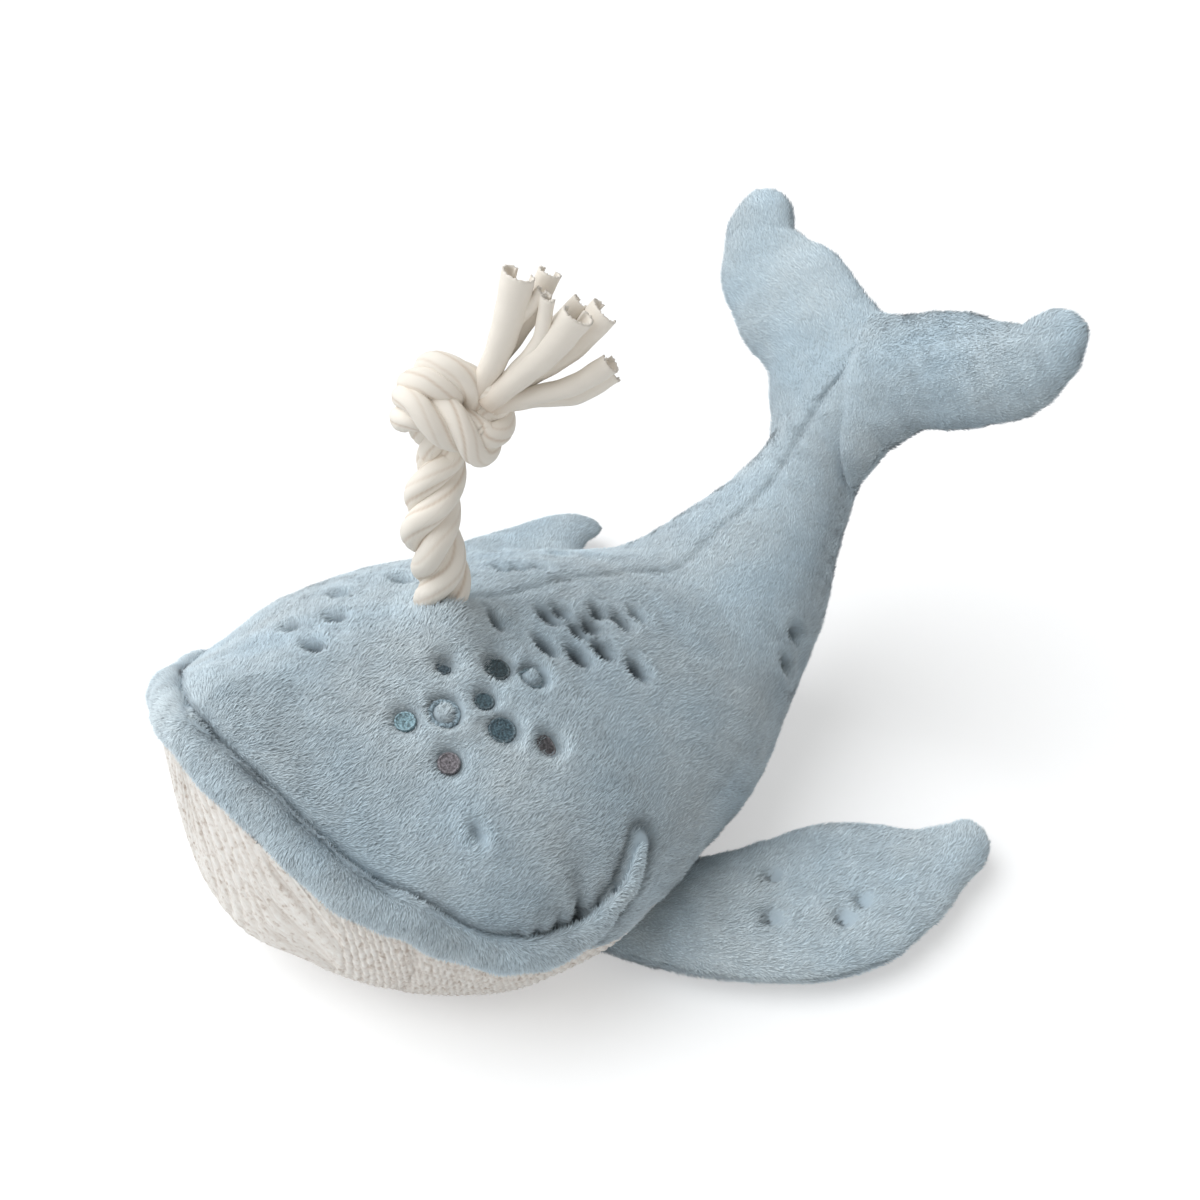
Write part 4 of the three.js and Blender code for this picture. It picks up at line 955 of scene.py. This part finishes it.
# The foot of each fluke runs down inside the tail, so that its leading edge leaves the tail in a bow
fluke_feet = {
    "left": [[15, -79, -4, -5], [20.6, -70.5, -5, 0], [24.6, -60, -5, 3]],
    "right": [[16, -88, -8, -6], [21.5, -80.5, -8.5, -1], [26.4, -71.5, -8.7, 2]]}
for side_name, sign, fullness in (("left", 1, 1.0), ("right", -1, 1.24)):
    outboard = end_left * sign
    line = np.stack([
        fluke_line[:, 0] * fluke_length,
        (fluke_line[:, 1] - (fullness - 1) * fluke_chords) * fluke_width], 1)
    edges = limb_edges(line, fluke_chords * fullness * fluke_width)
    # On the inner side of its bend the trailing edge runs straight, so that the cloth doesn't fold over
    edges[17:27, 2:] = np.linspace(edges[17, 2:], edges[26, 2:], 10)
    edges = np.vstack([fluke_feet[side_name], edges])
    paddings = limb_padding * np.concatenate([
        [0.75, 0.88, 0.97], spline(fluke_paddings[:, None], np.linspace(0, 1, 33))[:, 0]])
    place = (np.stack([outboard, end_forward, end_up]), tail_end)
    hinge = tail_end + 26 * outboard
    limbs.append((f"fluke_{side_name}", edges, paddings, place, "tail", hinge, outboard, 6))
for side_name, sign, turn_degrees, root_back, root_out, fullness in (
        ("left", 1, -3.5, 156.004, 88.992, 1), ("right", -1, 11.5, 173.376, 95.04, 1.15)):
    spin = math.radians(turn_degrees)
    outboard = np.array([sign * math.sin(spin), -sign * math.cos(spin), 0])
    forward = np.array([-math.cos(spin), -math.sin(spin), 0])
    root = np.array([set_down[0] + root_back, -sign * root_out, 13.5])
    edges = limb_edges(flipper_line * flipper_length, flipper_chords * fullness * flipper_width)
    place = (np.stack([outboard, forward, [0, 0, 1]]), root)
    paddings = flipper_paddings * limb_padding
    limbs.append((f"flipper_{side_name}", edges, paddings, place, "body", root, outboard, 10))
# Pulled-in stitches of each flipper: share along it, angle round its section, width
limb_marks = {
    "flipper_left": [[0.36, 1.9, 4.0], [0.40, 1.3, 4.0], [0.50, 2.1, 4.0], [0.56, 1.95, 3.5]],
    "flipper_right": [[0.5, 1.4, 4.0], [0.62, 1.7, 4.0]]}
limb_rows, limb_columns = 161, 96
for number, (name, edges, paddings, place, parent, hinge, outboard, reach_out) in enumerate(limbs):
    share = np.linspace(0, 1, limb_rows)
    along = 0.0006 + 0.9988 * (share - 0.16 * np.sin(2 * np.pi * share) / (2 * np.pi))
    turn = np.linspace(0, 2 * np.pi, limb_columns, endpoint=False)
    points = limb_form(edges, paddings, place, along[:, None], turn[None, :])
    middle = points.mean(1, keepdims=True)
    closed = np.concatenate([points[:, -1:], points, points[:, :1]], 1)
    out = unit(np.cross(np.gradient(closed, axis=1)[:, 1:-1], np.gradient(points, axis=0)))
    turned = np.sign(((points - middle) * out).sum(-1).mean())
    out = out * turned
    x, y, z = points[..., 0], points[..., 1], points[..., 2]
    edge, groove = (np.exp(-(np.sin(turn) / width) ** 2)[None, :] for width in (0.16, 0.075))
    # The small puckers of the edge seam fade where the rows close up on the inner side of a bend
    row_step = np.linalg.norm(np.gradient(points, axis=0), axis=-1)
    drawn = np.sin(along[:, None] * 95 + 3 * number + 1.3 * np.cos(turn))
    drawn = drawn * smooth_step(row_step, 0.4, 0.9)
    relief = (
        0.8 * np.sin(x / 17 + number) * np.sin(y / 19 + z / 13) + 0.4 * np.sin(x / 8 + y / 9 + z / 7)
        - 1.3 * groove - 0.5 * edge * (1 + drawn))
    length = np.full(points.shape[:2], 2.6)
    if parent == "tail":
        # The cloth runs on from the tail to the fluke: near the tail's surface each point keeps half the
        # root of its squared height plus a fillet's, and the foot inside the tail stays just below
        near, near_out = (grid[skin_along > 0.7, ::3].reshape(-1, 3) for grid in (skin_base, skin_out))
        gap, away = np.empty(points.shape[:2]), np.empty(points.shape)
        for at, ring in enumerate(points):
            squares = ((ring[:, None] - near) ** 2).sum(-1)
            weight = np.exp((squares.min(1, keepdims=True) - squares) / (2 * 6.0 ** 2))
            weight /= weight.sum(1, keepdims=True)
            away[at] = unit(weight @ near_out)
            gap[at] = ((ring - weight @ near) * away[at]).sum(-1)
        face = smooth_step(np.abs(np.sin(turn)), 0.0, 0.16)[None, :]
        swell = 0.5 * (np.sqrt(gap ** 2 + 4 * 3.2 ** 2) - gap) - 1.6 * smooth_step(-gap, -2, 4)
        swell = swell * smooth_step(gap, -12, -5) * (1 - smooth_step(gap, 8, 22)) * face
        points = points + swell[..., None] * away
        length = length * np.clip((gap + swell) / 2.5, 0.6, 1)
    # Painted light and shade on the pile's tone: the left flipper's is lighter and the right fluke's
    # darker, and it darkens at the pulled-in marks and in the groove of the edge seam
    pile_painted_light_and_shade = np.full(points.shape[:2], {"flipper_left": 1.12, "fluke_right": 0.94}.get(name, 1.0))
    for mark_along, mark_turn, wide in limb_marks.get(name, []):
        at = limb_form(edges, paddings, place, np.array(mark_along), np.array(mark_turn))
        gap_to_mark = np.linalg.norm(points - at, axis=-1)
        relief = relief - 5.0 / (1 + (gap_to_mark / wide) ** 4)
        pile_painted_light_and_shade = pile_painted_light_and_shade * (1 - np.exp(-(gap_to_mark / (wide * 0.9)) ** 2))
    pile_painted_light_and_shade = pile_painted_light_and_shade * (1 - 0.2 * groove)
    nap = unit(np.gradient(points, axis=0))
    if parent == "tail":
        turned_nap = smooth_step(gap + swell, -2, 16)[..., None]
        nap = unit(nap * turned_nap + end_forward * (1 - turned_nap))
    points = points + relief[..., None] * out
    if parent == "body":
        points[..., 2] = np.maximum(points[..., 2], 0.8)
    order = points[:, ::-1] if turned > 0 else points
    piece = capped_tube(f"{name}_plush", order * mm, plush_backing_painted_shade)
    add_value(piece, "pile", np.full(limb_rows * limb_columns, 0.5))
    add_value(piece, "tone", np.full(limb_rows * limb_columns, 0.73))
    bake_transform(piece)
    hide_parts(f"{name}_top_panel", f"{name}_under_panel", f"{name}_stuffing")
    tuft = add_pile(
        f"{name}_pile", (points, out, nap, length, pile_painted_light_and_shade), 44000 if parent == "body" else 30000,
        (71 + number, 81 + number), ring=True, on_floor=1 / 2.6, lean=34)
    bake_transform(tuft)


# Embroidered spots: satin stitch in grey-blue, teal and brown-grey thread through the plush, some
# filled with a paler rim, two of them open rings, one a leaf.
def thread_material():
    """Satin thread: colour from the attributes' mix of dark and pale thread, with painted highlights, and
    a soft gloss.
    """
    material, shader, tree = plain_material("satin_thread", (0.2, 0.3, 0.35), 0.5, 0.3, 0.2)
    fibre = noise_by_place(tree, 1100, 5)
    ramp = colour_ramp(tree, fibre, (0.38, (0.45, 0.45, 0.45)), (0.66, (1.5, 1.5, 1.5)))
    shade = read_attribute(tree, "thread_colour", "Color")
    feed_node(tree, shader, {
        "Base Color": mix_colours(tree, shade, ramp, 1, "MULTIPLY"),
        "Normal": bump_normal(tree, fibre, 0.7, 0.4)})
    return material


def stitch_frame(along, degrees):
    """Place on the trunk, and its directions tailwards, round the trunk and outwards."""
    turn = math.radians(degrees)
    centre = trunk_form(np.array(along), np.array(turn))
    step_along = unit(trunk_form(np.array(along + 0.004), np.array(turn)) - centre)
    step_turn = trunk_form(np.array(along), np.array(turn + 0.02)) - centre
    step_turn = unit(step_turn - (step_turn @ step_along) * step_along)
    out = np.cross(step_turn, step_along)
    return centre, step_along, step_turn, out * np.sign(out @ (centre - trunk_frame(np.array(along))[0]))


def disc_faces(sides, columns):
    """Faces of a disc from a grid whose rows are its spokes: round the spokes, and a flat face at the
    first and at the last column."""
    spokes = np.arange(sides) * columns
    return [
        grid_faces(sides + 1, columns, ring=False) % (sides * columns),
        np.stack([spokes[::-1], spokes + columns - 1])]


def add_colour(piece, colours):
    """Colour attribute of the thread, with one colour for each point of the mesh."""
    layer = piece.data.color_attributes.new("thread_colour", "FLOAT_COLOR", "POINT")
    layer.data.foreach_set("color", np.concatenate(
        [colours, np.ones((len(colours), 1))], 1).astype(np.float32).ravel())


thread = thread_material()
spot_colours = [
    (0.22, 0.35, 0.40), (0.24, 0.32, 0.37), (0.05, 0.08, 0.10), (0.17, 0.155, 0.17), (0.05, 0.09, 0.11),
    (0.055, 0.10, 0.125), (0.03, 0.055, 0.065), (0.15, 0.21, 0.24), (0.07, 0.065, 0.07)]
spot_sides, spot_depth, dot_depth = 96, 3.3, 6.6
for number, ((along, degrees, diameter, kind), dark) in enumerate(zip(spots, spot_colours)):
    centre, step_along, step_turn, out = stitch_frame(along, degrees)
    middle = centre - spot_depth * out
    angle = np.linspace(0, 2 * np.pi, spot_sides, endpoint=False)
    pale = np.array(dark) * 1.2 + (0.05 if kind == "ring" else 0.12)
    if kind == "ring":
        bead_sides = 20
        bead = np.linspace(0, 2 * np.pi, bead_sides, endpoint=False)
        swell = 1.05 + 0.12 * np.abs(np.sin(36 * angle[:, None] + 2 * bead[None, :]))
        radius = diameter / 2 - 1.0 + swell * np.cos(bead)[None, :]
        height = 0.7 * swell * np.sin(bead)[None, :] + 0.3
        x, y = radius * np.cos(angle)[:, None], radius * np.sin(angle)[:, None]
        blend_of = 0.5 + 0.5 * np.cos(bead)[None, :] + 0 * angle[:, None]
        faces = [grid_faces(spot_sides + 1, bead_sides) % (spot_sides * bead_sides)]
    else:
        level = np.concatenate([np.linspace(0.04, 0.72, 12), np.linspace(0.76, 1, 12)])
        stretch = (0.78, 1.3) if kind == "leaf" else (1, 1)
        rim = np.clip((level - 0.74) / 0.08, 0, 1) * np.clip((1.0 - level) / 0.08, 0, 1)
        outline = 1 - (0.16 * np.abs(np.sin(angle)) ** 6 if kind == "leaf" else 0 * angle)
        radius = diameter / 2 * level[None, :] * outline[:, None]
        x, y = radius * np.cos(angle)[:, None] * stretch[0], radius * np.sin(angle)[:, None] * stretch[1]
        strands = 0.14 * np.abs(np.sin(np.pi * (x * 0.8 + y * 0.6) / 0.55))
        radial = 0.16 * np.abs(np.sin(26 * angle))[:, None]
        height = (
            0.75 * np.sqrt(np.clip(1 - level ** 8, 0, 1))[None, :] + 0.45 * rim[None, :]
            + np.where(rim[None, :] > 0.1, radial, strands))
        x, y, height = (np.concatenate([grid, grid[:, -1:]], 1) for grid in (x, y, height))
        height[:, -1] -= 0.8
        faces = disc_faces(spot_sides, x.shape[1])
        blend_of = np.concatenate([rim, [0]])[None, :] + 0 * angle[:, None]
    points = middle + x[..., None] * step_along + y[..., None] * step_turn + height[..., None] * out
    piece = make_mesh(f"stitched_spot_{number + 1}", points.reshape(-1, 3) * mm, faces, thread)
    face = piece.data.polygons[3]
    if np.array(face.normal) @ (out if kind != "ring" else unit(np.array(face.center) - middle * mm)) < 0:
        piece.data.flip_normals()
    # Painted highlights: single pale threads are lit up, most of them on the side away from the nose
    glint = 0.35 + 0.65 * np.abs(np.sin(31 * angle + 3 * number) * np.sin(17 * angle)) * (
        1 + np.cos(angle - 0.6)) / 2
    blend_of = blend_of * glint[:, None] + 0.12 * np.abs(np.sin(57 * angle))[:, None] * (blend_of < 0.1)
    add_colour(piece, np.array(dark) + (pale - dark) * blend_of.reshape(-1, 1))
    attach(piece, "body")
    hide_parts(f"spot_{number + 1}")

dot_angle = np.linspace(0, 2 * np.pi, 20, endpoint=False)
dot_level = np.array([0.1, 0.4, 0.7, 0.9, 1.0])
dot_size = len(dot_angle) * len(dot_level)
dot_points, dot_faces, dot_caps = [], [], []
for number, (along, degrees, diameter) in enumerate(dots):
    centre, step_along, step_turn, out = stitch_frame(along, degrees)
    radius = diameter / 2 * dot_level[None, :]
    height = 0.6 * np.sqrt(1 - dot_level ** 4)[None, :] + 0.1 * np.sin(9 * dot_angle)[:, None]
    points = centre - dot_depth * out + (radius * np.cos(dot_angle)[:, None])[..., None] * step_along + (
        radius * np.sin(dot_angle)[:, None])[..., None] * step_turn + height[..., None] * out
    faces, caps = disc_faces(len(dot_angle), len(dot_level))
    dot_points.append(points.reshape(-1, 3))
    dot_faces.append(faces + number * dot_size)
    dot_caps.append(caps + number * dot_size)
stitch_dots = make_mesh(
    "stitched_dots", np.concatenate(dot_points) * mm,
    [np.concatenate(dot_faces), np.concatenate(dot_caps)], thread)
# Real stitches, with painted shade: the dots' thread is near black, for the shade deep in their dents
add_colour(stitch_dots, np.tile([0.03, 0.045, 0.055], (len(dots) * dot_size, 1)))
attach(stitch_dots, "body")
